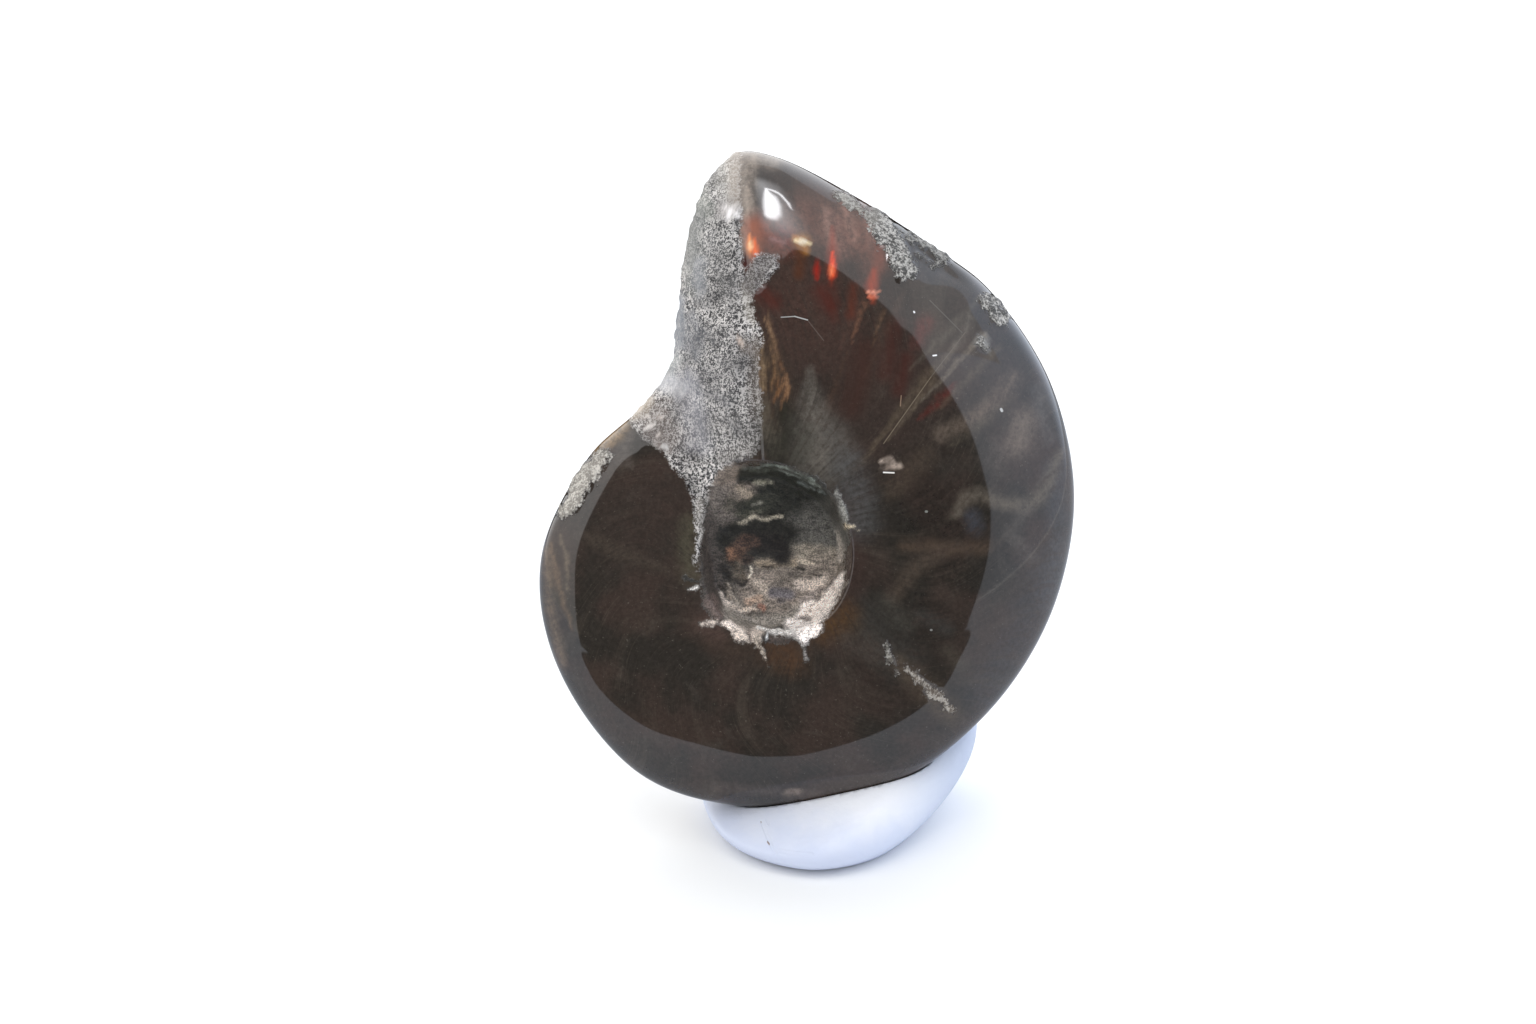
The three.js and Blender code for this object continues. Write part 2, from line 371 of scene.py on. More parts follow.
def steps(r, angle):
    # the step down from the shell to the bare stone, and the worn place on the shoulder
    onStone = smoothStep(fossil["lipAngle"], fossil["lipAngle"] + fossil["lipWidth"], angle)
    onStone = onStone * (1 - smoothStep(*fossil["lipFade"], angle))
    seamThere = seamRadius(np.array(fossil["mouthAngle"]))
    lip = fossil["shellLip"] * onStone * smoothStep(seamThere, seamThere * 1.3, r)
    worn = fossil["wornShoulder"]
    x, v = r * np.cos(np.radians(angle)), r * np.sin(np.radians(angle))
    fromWorn = np.hypot(x - worn["x"], v - worn["v"])
    return -lip - worn["depth"] * (1 - smoothStep(0, worn["reach"], fromWorn))


# What lies on the fossil, with some painted highlights, painted sheen and painted shade among it, x and v in
# millimetres as the camera sees them. A mark is a path, a half-width, a colour as a paint program shows it,
# and for those in the polished shell also its strength.

bareStone = [
    (-3.6, 54), (-3.9, 48), (-3.6, 44.4), (-3.9, 41.1), (-3.5, 38.1), (-3.2, 36.2), (-1.9, 38.8),
    (-1.1, 39.1), (0.9, 38.8), (0.8, 37.1), (-0.6, 35.6), (-2.2, 34), (-2.4, 32.9), (-2.1, 31.2),
    (-1.1, 28.9), (-1.4, 25.8), (-1.5, 22.6), (-1, 19.5), (-1.3, 15.8), (-2, 13.8), (-4, 13.2),
    (-6.4, 12), (-7.6, 10), (-8.5, 5.6), (-8.8, 2), (-9.2, -0.6), (-9.4, 1), (-9.3, 4.5),
    (-9.5, 7), (-9.8, 8.8), (-11, 10.9), (-12.5, 12.5), (-13.5, 14.4), (-15.8, 15.8), (-17.5, 18.2),
    (-18.2, 20.1), (-24, 24), (-24, 54),
]
bareStoneBehind = [
    (-3.2, 54), (-3.4, 47), (-2.6, 41), (-2.9, 34), (-1.8, 28), (-2.2, 21), (-1.4, 13), (-5.5, 12), (-8, 9),
    (-8.6, 3), (-9.3, 5), (-10.4, 9.6), (-13, 13.5), (-16.6, 16.6), (-19, 21), (-24, 24), (-24, 54),
]
umbilicusEdge = [
    (-8.3, 9), (-5, 12.2), (-1, 12.9), (3, 12.4), (6, 10.9), (8, 8.9), (9.2, 6.2), (9.4, 3), (9.2, 0),
    (8.4, -2.9), (7, -5.2), (5.4, -7.6), (5, -9.2), (3.8, -9.9), (2.6, -9.2), (1, -8.6),
    (-0.8, -9.3), (-2.4, -9.5), (-4.2, -8.7), (-6, -7.5), (-7.4, -5.4), (-7.8, -1), (-8.3, 3),
]

umbilicusMarks = [
    ([(-7, 6), (-7.2, 0), (-6.8, -5)], 1.6, (74, 66, 60)),
    ([(-6.4, 10.6), (-4.6, 11), (-3.6, 9.4)], 1.9, (122, 110, 100)),
    ([(-6.6, 9), (-5.8, 6.6)], 1.4, (104, 95, 88)),
    ([(-5, 7.6), (-3, 6.6)], 0.9, (84, 78, 68)),
    # the dark top of the umbilicus: partly the older whorl's dark greenish wall, partly painted shade where
    # that wall faces down
    ([(-3.4, 11.3), (0, 11.6), (4, 10.2), (6.4, 8.6)], 0.9, (40, 41, 34)),
    ([(0.6, 8), (3, 6.4), (4, 9)], 2.4, (42, 42, 34)),
    ([(-3, 7.2), (0, 8.6)], 1.2, (54, 54, 44)),
    ([(5, 7.2), (6.6, 7.4)], 1.1, (66, 64, 58)),
    ([(3.4, 4.4), (6.2, 4.4), (7.8, 3.4)], 2.1, (88, 85, 79)),
    ([(3, 1.6), (5, 1.4), (7.4, 1)], 1.2, (140, 130, 116)),
    ([(-1.4, -3), (1.5, -3.4), (4.6, -3), (6.6, -1.6)], 2.9, (134, 122, 111)),
    ([(-1.4, 0.3), (1, 0.3), (3, 0.5)], 0.5, (142, 127, 108)),
    ([(1.4, -1.2), (2.6, -1.4)], 1.1, (112, 102, 92)),
    ([(-1.4, -2.4), (-0.5, -3)], 0.7, (172, 158, 144)),
    ([(3.6, -2.4), (5, -2.6), (6.6, -1.9)], 0.75, (186, 172, 160)),
    ([(3.4, 0.5, 0.3), (4, 0.7, 1), (5.4, 0.2, 0.4)], 0.4, (186, 172, 154)),
    # painted shade: the hollow near the middle is painted dark, and the relief sinks it
    ([(-5.4, 3.4), (-2, 4.6), (1.8, 4)], 1.6, (38, 36, 30)),
    ([(-2.2, 3), (0.6, 2.4), (1.4, 1.6)], 1.4, (36, 30, 26)),
    ([(-3.2, 3), (-4.2, 2), (-4.5, 0.9)], 0.95, (84, 60, 46)),
    ([(-5, 2), (-4.9, 1), (-4, 0.6)], 0.42, (116, 82, 60)),
    ([(-3.2, 3.2), (-2, 3)], 0.7, (70, 50, 40)),
    ([(-3.4, 0.8), (-2.6, 0.9)], 0.5, (60, 46, 38)),
    ([(-4.2, -0.2), (-3.8, -1.6)], 0.85, (84, 74, 62)),
    ([(-6, -0.2), (-5.4, -1.2)], 0.55, (48, 42, 38)),
    ([(-4.4, -1.9), (-3.6, -2.3), (-3, -1.9)], 0.3, (50, 43, 38)),
    ([(-2.6, 0, 0.6), (-2.5, -0.7, 1), (-2.8, -1.4, 0.5)], 0.2, (204, 194, 178)),
    ([(-1, 0.02), (0.1, 0)], 0.16, (52, 45, 40)),
    ([(3.3, -0.3), (4.2, -0.6)], 0.18, (54, 48, 42)),
    ([(5, -0.9), (6.4, -1.1)], 0.12, (84, 76, 70)),
    ([(5.4, -3.4), (7, -2.8), (8, -1.4)], 0.22, (112, 102, 96)),
    ([(-5.4, -2.2, 0.5), (-5, -3.8, 1), (-4, -5, 0.6)], 0.35, (152, 140, 127)),
    ([(-6.3, -3.4, 0.4), (-5.6, -4.7, 1), (-4.2, -5.6, 1), (-2.8, -5.6, 0.5)], 0.46, (204, 190, 177)),
    ([(-2.9, -4.4), (-1.4, -4)], 0.45, (176, 150, 130)),
    ([(-3.4, -5.2), (-1.8, -5.4)], 0.24, (216, 196, 178)),
    ([(-1.4, -4.9), (-0.9, -5.3)], 0.28, (146, 102, 82)),
    ([(0.5, -3.3), (2.2, -3.6)], 0.75, (104, 98, 101)),
    ([(1, -4.4), (1.7, -4.5)], 0.24, (74, 68, 68)),
    ([(4, -4.6), (5.4, -3.8)], 0.6, (150, 138, 130)),
    ([(-5.6, -6), (-4, -6.8), (-1, -7.1), (2, -6.6), (3.4, -5.7)], 0.85, (142, 134, 124)),
    ([(-7.6, -4.2), (-6.6, -6.2)], 0.75, (98, 82, 75)),
    ([(-8.4, -7.3, 1), (-7.4, -7.2, 1), (-6.6, -7, 0.3)], 0.42, (194, 180, 168)),
    ([(-6.4, -7.1, 0.3), (-5.4, -7.4, 1), (-4.3, -8.1, 0.8)], 0.5, (226, 211, 199)),
    ([(-4.2, -8.5), (-2.8, -8.9), (-1.7, -8.6)], 0.85, (202, 187, 174)),
    ([(-2.9, -8.4), (-2.4, -9.3)], 0.24, (122, 108, 98)),
    ([(-1.7, -9, 1), (-1.3, -10.4, 0.75), (-0.9, -11.4, 0.5), (-0.3, -12.5, 0.1)], 0.42, (170, 156, 141)),
    ([(3.4, -6.8), (4.4, -5.4), (5.2, -4.9)], 0.62, (232, 221, 213)),
    ([(9.2, -0.7, 0.2), (8.4, -2.4, 0.8), (7.2, -4.4, 1.3), (5.8, -6.2, 1.6), (5, -7.6, 1.8)],
     0.72, (238, 226, 217)),
    ([(7.9, -2.6, 1), (8.9, -4, 0.1)], 0.34, (204, 190, 180)),
    ([(2.7, -7.4, 0.8), (4.1, -8.1, 1.2), (4.2, -9.2, 0.7)], 1.05, (244, 235, 229)),
    ([(3.9, -6.7), (4.9, -6.9)], 0.34, (128, 119, 114)),
    # a thin painted highlight along a ledge
    ([(-1.6, -7.9, 0.7), (0, -8.3, 1), (2.2, -8.5, 1), (3, -8.3, 0.7)], 0.3, (238, 233, 228)),
    ([(-0.2, -9.3), (2.2, -9.2)], 0.5, (58, 46, 39)),
    ([(-0.9, -8.8), (-0.5, -9.2)], 0.26, (26, 22, 20)),
    # a painted highlight on the black spot above
    ([(-0.5, -8.7), (-0.4, -9.1)], 0.1, (246, 246, 246)),
    ([(4.3, -10.6, 0.5), (4.4, -11.6, 1)], 0.3, (124, 118, 114)),
    ([(8.4, 9.4, 0.5), (9, 7.2, 1), (9.5, 5.4, 0.8)], 0.5, (128, 126, 120)),
    ([(9.5, 5, 1), (10.3, 4.9, 0.8), (11.2, 4.4, 0.1)], 0.36, (170, 156, 132)),
    ([(8.2, 4.4, 0.4), (8.7, 2.6, 0.8), (8.8, 0.9, 1)], 0.42, (168, 158, 147)),
    ([(-3.9, 9.6), (-2.8, 9)], 0.55, (150, 136, 120)),
    # a painted highlight on an inner whorl's edge
    ([(-2.2, 10.5, 0.4), (-1.2, 10.4, 1), (0.3, 10.3, 0.5)], 0.24, (152, 147, 129)),
    ([(-2.6, 7.5, 0.4), (-1.4, 7.8, 1)], 0.18, (130, 127, 116)),
    # a painted highlight along the top edge of an inner whorl
    ([(-3.9, 5.5, 0.6), (-2, 6.1, 1), (0, 6, 0.9), (1.4, 6.15, 0.6)], 0.26, (188, 177, 157)),
    ([(-4.4, 6.5), (-1.2, 6.9)], 0.12, (88, 86, 72)),
    ([(-3.6, 12.2), (0, 12.6), (3, 12), (5.4, 10.7)], 0.09, (118, 126, 118)),
    ([(0.8, 11.9), (4, 11), (6.2, 9.8)], 0.1, (132, 138, 130)),
    ([(-2.6, 11.9), (1, 12)], 0.08, (84, 88, 78)),
    ([(3.4, 10.5), (6.6, 9)], 0.08, (104, 110, 106)),
    ([(-10.8, -1.5), (-9, -2)], 0.22, (28, 26, 22)),
    ([(-10.3, -3, 0.3), (-9.6, -2.9, 1), (-8.8, -2.5, 0.4)], 0.2, (228, 223, 218)),
]

shellMarks = [
    ([(3, 33), (9, 29)], 6, (80, 58, 51), 0.6),
    ([(11, 25), (15, 19)], 6, (54, 45, 41), 0.5),
    ([(-13, 7), (-17, 4)], 5, (68, 56, 51), 0.55),
    ([(9, -2), (12, -6)], 3, (42, 38, 34), 0.6),
    ([(20, 9), (22, 4)], 5, (32, 30, 27), 0.6),
    ([(20, -2), (17, -12)], 6, (34, 33, 30), 0.6),
    ([(17, 41), (24, 35), (30, 28)], 3, (32, 31, 28), 0.6),
    ([(2, 48.6), (9, 44.6)], 2.2, (60, 47, 40), 0.7),
    # the milky pinkish band on the nose: partly the shell's paler colour, partly painted sheen round the
    # lamp's reflection
    ([(4.6, 43.6), (10.4, 42)], 2.6, (118, 84, 72), 0.65),
    ([(7.6, 43.4), (8.6, 40)], 1.2, (142, 104, 92), 0.6),
    ([(11.4, 41), (13, 38)], 1.6, (112, 76, 64), 0.6),
    ([(-3, 51), (-2.9, 46), (-3, 39.6)], 0.95, (158, 144, 131), 0.85),
    ([(-2, 51), (0.5, 50.6)], 0.8, (150, 136, 122), 0.6),
    ([(-1.8, 42.4), (1.6, 40.6)], 1.6, (120, 66, 50), 0.8),
    ([(1.2, 41.8), (3, 40.6)], 0.6, (92, 50, 52), 0.7),
    ([(0, 40.9), (1.6, 40.3)], 0.3, (150, 118, 118), 0.5),
    ([(9, 46), (10.5, 41)], 0.5, (150, 114, 100), 0.6),
    ([(11.6, 44.8), (12.8, 40)], 0.5, (132, 98, 86), 0.5),
    ([(6.8, 44.5), (7.6, 40.5)], 0.4, (136, 110, 98), 0.5),
    ([(5.2, 45), (4.9, 41.2)], 0.45, (72, 50, 44), 0.5),
    ([(11.7, 32.9, 1), (10.9, 30.6, 0.8), (10.1, 28, 0.2)], 0.3, (124, 88, 70), 0.75),
    ([(14.2, 31.8, 1), (12.6, 27.6, 0.2)], 0.25, (108, 84, 66), 0.7),
    ([(9.4, 26.5, 0.3), (7.2, 20, 0.8)], 0.5, (78, 60, 50), 0.5),
    ([(24.9, 31.2, 0.8), (23.8, 28.4, 1), (20.5, 24.2, 0.4)], 0.5, (108, 101, 92), 0.6),
    ([(26.8, 29, 1), (23.4, 25.6, 0.8), (18.8, 20.4, 0.2)], 0.3, (118, 108, 95), 0.8),
    ([(22.4, 26.6, 0.6), (19.5, 23.6, 1), (16.4, 19.6, 0.9), (11.6, 13.2, 0.3)], 0.6, (96, 84, 70), 0.65),
    ([(20.6, 23.4, 0.5), (17, 18.8, 1), (14.6, 15.6, 0.2)], 0.3, (112, 100, 84), 0.6),
    ([(23.2, 22.9, 0.3), (21.4, 20.9, 1), (18.6, 18.4, 0.3)], 0.6, (92, 42, 37), 0.65),
    ([(19.5, 30.5), (18.3, 28.2)], 0.8, (104, 54, 50), 0.5),
    ([(25.6, 27.9, 0.5), (26.4, 28.2, 1), (27.2, 26.9, 0.3)], 0.6, (142, 140, 134), 0.9),
    ([(30.2, 23.5), (28.1, 20.4), (24.6, 18.1), (21.4, 16.5)], 0.9, (106, 93, 82), 0.7),
    ([(31.6, 18), (31, 15.4)], 1.6, (114, 102, 92), 0.7),
    ([(28.4, 14.8), (28, 13.2)], 1.2, (94, 84, 78), 0.5),
    ([(26, 13), (22, 12)], 1.4, (60, 55, 50), 0.5),
    ([(34, 0), (31.6, -8), (26.6, -16)], 2, (62, 62, 66), 0.45),
    ([(35.6, 12), (36, 4), (34.6, -4)], 1.2, (78, 80, 84), 0.45),
    ([(26, 33.4, 0.5), (22.4, 29.4, 1), (17.4, 24.6, 0.3)], 0.5, (92, 86, 76), 0.55),
    ([(28.6, 27.4, 0.4), (25.6, 24.4, 1), (20.8, 19.6, 0.3)], 0.5, (90, 80, 68), 0.6),
    ([(30.6, 21.4, 0.4), (27.4, 18.6, 1), (22.4, 14.8, 0.3)], 0.6, (84, 76, 66), 0.6),
    ([(12.4, 38, 0.3), (10.8, 33, 1), (8.8, 27, 0.3)], 0.6, (84, 62, 54), 0.5),
    ([(16.8, 34.6, 0.3), (14.8, 30, 1), (11.6, 23.6, 0.3)], 0.5, (80, 64, 55), 0.5),
    ([(33.4, 22), (34.6, 16)], 0.8, (92, 88, 86), 0.5),
    ([(13.8, 13, 0.4), (14.8, 13.2, 1), (15.5, 12.6, 0.8), (16.5, 12.3, 0.2)], 0.42, (196, 178, 163), 1),
    ([(14, 12.2), (15, 12.2)], 0.2, (150, 134, 122), 0.8),
    ([(19.2, 13.5), (15.2, 9.8)], 1.3, (82, 70, 60), 0.55),
    ([(23.1, 6.2, 0.6), (24.2, 8.4, 1), (26.1, 9.1, 0.9), (28.1, 8, 0.8), (31.9, 7.4, 1), (33.9, 9, 1),
      (35.1, 11.2, 0.9), (36.1, 14.1, 0.6)], 0.8, (98, 90, 80), 0.8),
    ([(32, 7.2), (30, 4), (32.6, 1)], 0.8, (84, 78, 73), 0.5),
    ([(25.2, 6.2), (25.6, 5)], 0.9, (74, 78, 86), 0.5),
    ([(16.8, 2.4), (19.9, 2.6), (22, 2.1), (26.8, 2.4)], 0.8, (80, 67, 57), 0.8),
    ([(21.4, 1.9), (18.8, 0.4), (16.6, -2), (15.2, -3.9)], 0.9, (80, 69, 60), 0.75),
    ([(21.2, -3.4), (23, -4.3)], 1, (68, 57, 51), 0.6),
    ([(14.4, -4.8), (15.6, -6.5), (17, -7.2)], 1.2, (70, 67, 61), 0.6),
    ([(19, -6.3), (22, -7.8)], 0.8, (68, 67, 64), 0.45),
    ([(11, -6), (13, -9), (16.6, -12)], 2.2, (66, 63, 59), 0.6),
    ([(9.8, -9.2), (13.4, -11)], 1.3, (74, 67, 61), 0.55),
    ([(22.4, -10.8), (23.6, -12.2)], 0.9, (80, 74, 65), 0.5),
    ([(16, -12.2, 0.6), (19.4, -15.6, 1), (22.6, -18.4, 0.8)], 1.5, (90, 78, 66), 0.6),
    ([(10, 7), (10.6, 0), (9.6, -5)], 1.3, (60, 46, 42), 0.6),
    ([(6.4, -7.6), (9, -6.4)], 1.8, (84, 62, 42), 0.8),
    ([(0.6, -10.6), (2.6, -11.6)], 1.8, (84, 62, 47), 0.8),
    ([(-2, -11), (-7, -9.4)], 1.4, (66, 55, 48), 0.7),
    ([(-7.6, -5.4), (-8.8, -7.2), (-6.4, -8.6)], 0.9, (84, 68, 62), 0.7),
    ([(-10.2, 5), (-10.4, 2), (-10, -1)], 1.2, (86, 82, 68), 0.65),
    ([(-23.6, 4, 0.6), (-19, 1.8, 1), (-13, -0.6, 0.5)], 1, (76, 67, 59), 0.55),
    ([(-17.6, 19, 0.5), (-19.4, 17, 1.2), (-21.8, 14.6, 0.6)], 1, (150, 124, 92), 0.85),
    ([(-17.4, 16.6, 0.5), (-18.6, 13.6, 1), (-17.4, 12.4, 0.4)], 0.8, (92, 84, 78), 0.6),
    ([(-20.4, 18, 0.5), (-24, 13.4, 1), (-26.4, 9, 0.5)], 0.5, (112, 98, 82), 0.6),
    ([(-27.6, 3, 0.5), (-26.6, -2, 1), (-24.9, -8, 0.4)], 0.35, (112, 92, 74), 0.6),
    ([(-26.4, 4, 0.3), (-25.6, 1, 1), (-25.4, -3, 0.4)], 0.25, (124, 110, 92), 0.5),
    ([(-28, 2), (-27.6, -5), (-26, -12)], 0.5, (140, 120, 100), 0.35),
    ([(-1.4, 29.6, 0.3), (-0.6, 25.5, 1), (0.4, 21.5, 1.1), (0.8, 17.6, 0.6)], 1.7, (72, 59, 49), 0.95),
    ([(1.8, 19.4, 0.6), (2.4, 16.8, 1), (1.2, 14.4, 0.8)], 1.7, (46, 45, 38), 0.9),
    ([(-0.2, 17), (0.6, 14.4)], 1, (70, 66, 58), 0.6),
    ([(-0.5, 26), (-0.6, 22)], 0.16, (150, 122, 92), 0.8),
    ([(0.2, 26.6, 0.4), (0.5, 23.8, 1), (0.2, 22, 0.3)], 0.17, (136, 102, 72), 0.8),
    ([(0.9, 23.6, 0.4), (0.9, 21.6, 1), (0.4, 20.4, 0.3)], 0.19, (172, 122, 82), 0.8),
    ([(1.4, 23.2, 0.3), (1.7, 21.8, 1), (1.3, 19.8, 0.3)], 0.19, (170, 124, 88), 0.8),
    ([(-1.2, 28.6, 0.4), (-0.9, 26, 1), (-1, 22, 0.6)], 0.2, (160, 134, 104), 0.75),
    ([(-0.9, 26.8, 0.3), (-0.3, 24, 1), (-0.2, 20.6, 0.4)], 0.13, (46, 38, 32), 0.8),
    ([(-0.2, 28.2, 0.3), (0.6, 25.2, 1), (0.9, 23.2, 0.4)], 0.2, (140, 110, 82), 0.7),
    ([(0.6, 25.6, 0.3), (0.9, 23, 1), (0.7, 20.4, 0.4)], 0.12, (44, 36, 31), 0.8),
    ([(-0.6, 30.8, 0.3), (0.3, 28.2, 1), (1.1, 25.6, 0.4)], 0.2, (168, 134, 102), 0.8),
    ([(-0.4, 32, 0.3), (0, 30, 1), (0.9, 27.6, 0.4)], 0.16, (124, 98, 76), 0.65),
    ([(1.3, 25.4, 0.3), (2, 23.2, 1), (2, 20.6, 0.4)], 0.2, (166, 124, 90), 0.8),
    ([(-1.6, 27.4, 0.3), (-1.5, 24.6, 1), (-1.4, 21.4, 0.4)], 0.18, (158, 132, 106), 0.7),
    ([(-0.6, 21.4, 0.4), (0, 18.6, 1), (0.6, 15.6, 0.4)], 0.14, (96, 88, 76), 0.6),
    ([(0.5, 20.4, 0.4), (1.1, 17.6, 1), (1.2, 15, 0.4)], 0.13, (82, 76, 68), 0.6),
    ([(0.3, 28), (1.7, 24.2)], 0.22, (74, 56, 46), 0.7),
    ([(-0.9, 20.6), (-0.5, 16)], 0.5, (98, 90, 78), 0.6),
    ([(4.8, 24.6, 0.15), (5.1, 21, 0.5), (5.6, 17, 1), (6.4, 13.8, 1.2)], 2.3, (106, 100, 92), 0.85),
    ([(7.6, 16.6), (9.2, 13)], 1.5, (86, 82, 77), 0.7),
    ([(4.4, 16.5), (3.6, 13.8)], 1.2, (70, 69, 62), 0.6),
    ([(9.6, 12.4), (11, 8), (11.2, 5.6)], 1.9, (84, 83, 82), 0.7),
    ([(2, -28.3), (3.6, -28.3)], 0.3, (190, 170, 155), 0.5),
    ([(-7, -27.6), (6, -28.6)], 0.5, (96, 84, 78), 0.4),
]

stoneMarks = [
    ([(-5, 47.6), (-5.4, 49.6)], 1.8, (196, 190, 180), 0.35),
    ([(-6.4, 47.4), (-4.6, 47.5)], 0.35, (120, 118, 116), 0.5),
    # this pale patch and the four white specks after it are painted highlights, where the lamp glints on the
    # stone
    ([(-5.8, 44.6), (-4.4, 44.6)], 1, (216, 208, 205), 0.5),
    ([(-5.4, 43.4, 0.5), (-5.1, 44.5, 1)], 0.34, (255, 250, 250), 1),
    ([(-4.5, 44, 1), (-3.6, 43.5, 0.6)], 0.3, (252, 248, 248), 1),
    ([(-5.9, 44.9), (-5.5, 45.2)], 0.22, (246, 240, 238), 0.9),
    ([(-4.6, 45, 1), (-4.2, 45.4, 0.4)], 0.2, (240, 234, 232), 0.8),
    ([(-9.2, 47.2), (-8.4, 44.6)], 1.1, (132, 136, 128), 0.6),
    ([(-9.4, 46.6), (-9.6, 44.4)], 0.35, (112, 116, 118), 0.7),
    ([(-10.2, 42), (-10.8, 37)], 1, (186, 184, 178), 0.4),
    ([(-7.6, 41), (-7.2, 38)], 1.2, (122, 122, 122), 0.35),
    ([(-8, 38), (-3, 37)], 1.6, (84, 82, 84), 0.2),
    ([(-7.6, 35), (-2.6, 34.6)], 1.9, (76, 74, 74), 0.5),
    ([(-9.6, 43), (-9.8, 38), (-9.4, 35)], 1.2, (106, 109, 106), 0.6),
    ([(-4.2, 52), (-4.1, 46.4)], 1.1, (164, 151, 138), 0.75),
    ([(-7.6, 38.7, 0.4), (-6.9, 38.7, 1), (-6, 38.6, 0.4)], 0.34, (58, 56, 56), 0.9),
    ([(-7.2, 35.6, 0.4), (-5.8, 35.5, 1), (-4.4, 35.4, 0.4)], 0.36, (60, 58, 58), 0.85),
    ([(-6.6, 34.9, 0.4), (-5, 34.7, 1), (-3, 34.7, 0.4)], 0.26, (70, 68, 68), 0.8),
    ([(-8, 34.1, 0.4), (-6.4, 34, 1), (-4.6, 34, 0.4)], 0.34, (52, 51, 51), 0.9),
    ([(-7.4, 33.3, 0.4), (-5.8, 33.4, 1), (-4, 33.6, 0.4)], 0.28, (70, 68, 68), 0.75),
    ([(-6.4, 36.4, 0.4), (-4, 36.3, 1), (-2.8, 36.2, 0.4)], 0.28, (72, 70, 70), 0.7),
    ([(-4.8, 35.4), (-4.6, 32)], 0.6, (84, 82, 82), 0.4),
    ([(-9.2, 33.2), (-8, 32.6)], 0.5, (84, 84, 86), 0.5),
    ([(-8.9, 38), (-8.8, 34.4)], 0.75, (128, 130, 134), 0.85),
    ([(-3, 34.8), (-2.4, 31)], 0.7, (172, 164, 150), 0.5),
    ([(-11.6, 33.4), (-11.8, 27.6)], 0.8, (138, 141, 147), 0.85),
    ([(-9.8, 31.2, 0.6), (-9.6, 29, 1), (-9.4, 26.4, 0.6)], 1.4, (98, 100, 106), 0.65),
    # pale strokes on the left edge: partly the stone's own paler tone, partly painted light where it faces
    # the white room
    ([(-12, 26), (-12.6, 24)], 0.8, (168, 172, 172), 0.6),
    ([(-7, 26), (-3, 20)], 4.5, (98, 96, 98), 0.3),
    ([(-5.4, 25.2), (-2.6, 24.8)], 1, (84, 82, 84), 0.35),
    # partly painted light where the stone faces the white room
    ([(-10.6, 23), (-9, 15.6)], 1.6, (186, 186, 196), 0.35),
    ([(-7.4, 21.6), (-5.4, 20.4)], 0.8, (84, 84, 88), 0.4),
    ([(-6, 17), (-3, 14)], 2.5, (84, 80, 76), 0.35),
    ([(-6, 13.2), (-2.4, 14)], 0.9, (92, 86, 80), 0.5),
    # partly painted light where the stone faces the white room
    ([(-13.4, 23), (-11.6, 22)], 1.1, (202, 202, 206), 0.7),
    ([(-4.1, 28.3), (-3.5, 27.8)], 0.32, (236, 214, 198), 0.9),
    ([(-3, 27.4), (-1.8, 26.8)], 0.8, (140, 122, 108), 0.4),
    ([(-16.2, 20.4), (-13.2, 16)], 2, (120, 107, 99), 0.6),
    ([(-11.8, 20.6), (-10.4, 14.4)], 1.8, (96, 90, 90), 0.35),
    ([(-15.8, 19.6), (-15, 18.8)], 0.2, (80, 66, 60), 0.7),
    ([(-14.4, 17.2), (-12.2, 17)], 0.18, (76, 64, 60), 0.7),
    ([(-13.8, 20.9), (-12.4, 20.5)], 0.2, (88, 74, 68), 0.6),
    ([(-17, 19), (-15.6, 20.8)], 0.8, (186, 172, 154), 0.7),
    ([(-14.6, 19.8), (-12.8, 19.2)], 0.25, (98, 84, 76), 0.7),
    ([(-14.8, 18.6), (-12.6, 18.3)], 0.22, (104, 90, 82), 0.7),
    ([(-15.6, 16.5), (-13, 16.3)], 0.3, (92, 80, 74), 0.7),
    ([(-14, 15.4), (-12.8, 14.6)], 0.5, (116, 102, 96), 0.6),
    ([(-15.9, 17.1, 0.4), (-15.2, 17.5, 1), (-14.7, 17.7, 0.3)], 0.3, (236, 228, 222), 0.9),
    ([(-15.9, 18.4, 0.4), (-15.5, 18.8, 1)], 0.24, (226, 216, 208), 0.8),
    ([(-14, 18.6, 1), (-13.5, 18.9, 0.4)], 0.22, (222, 210, 202), 0.8),
    ([(-14.4, 16.2, 0.4), (-13.9, 16.5, 1)], 0.22, (222, 210, 202), 0.8),
    ([(-16.4, 19.6, 1), (-16, 20, 0.5)], 0.22, (214, 198, 182), 0.8),
    ([(-13.4, 15.2), (-12.9, 14.7)], 0.2, (222, 220, 218), 0.8),
    ([(-1.8, 28.4, 0.5), (-1.8, 24, 1), (-1.6, 19, 1)], 1.1, (84, 72, 62), 0.7),
    ([(-1.3, 19.6, 0.7), (-1.5, 16.6, 1.2), (-1.8, 13.8, 1)], 0.9, (70, 66, 60), 0.65),
    ([(1, 39.2), (-1.4, 37.8), (-2.4, 35)], 1.3, (76, 68, 64), 0.85),
    ([(-6.2, 29.4), (-3.2, 28.6)], 0.6, (72, 70, 70), 0.4),
    ([(-8.6, 24.6), (-5.4, 23.4)], 0.5, (78, 76, 78), 0.35),
    ([(-7.6, 18.6), (-4.6, 17.6)], 0.7, (78, 76, 78), 0.35),
    ([(-8.8, 8), (-8.6, 3)], 0.5, (176, 169, 158), 0.4),
]

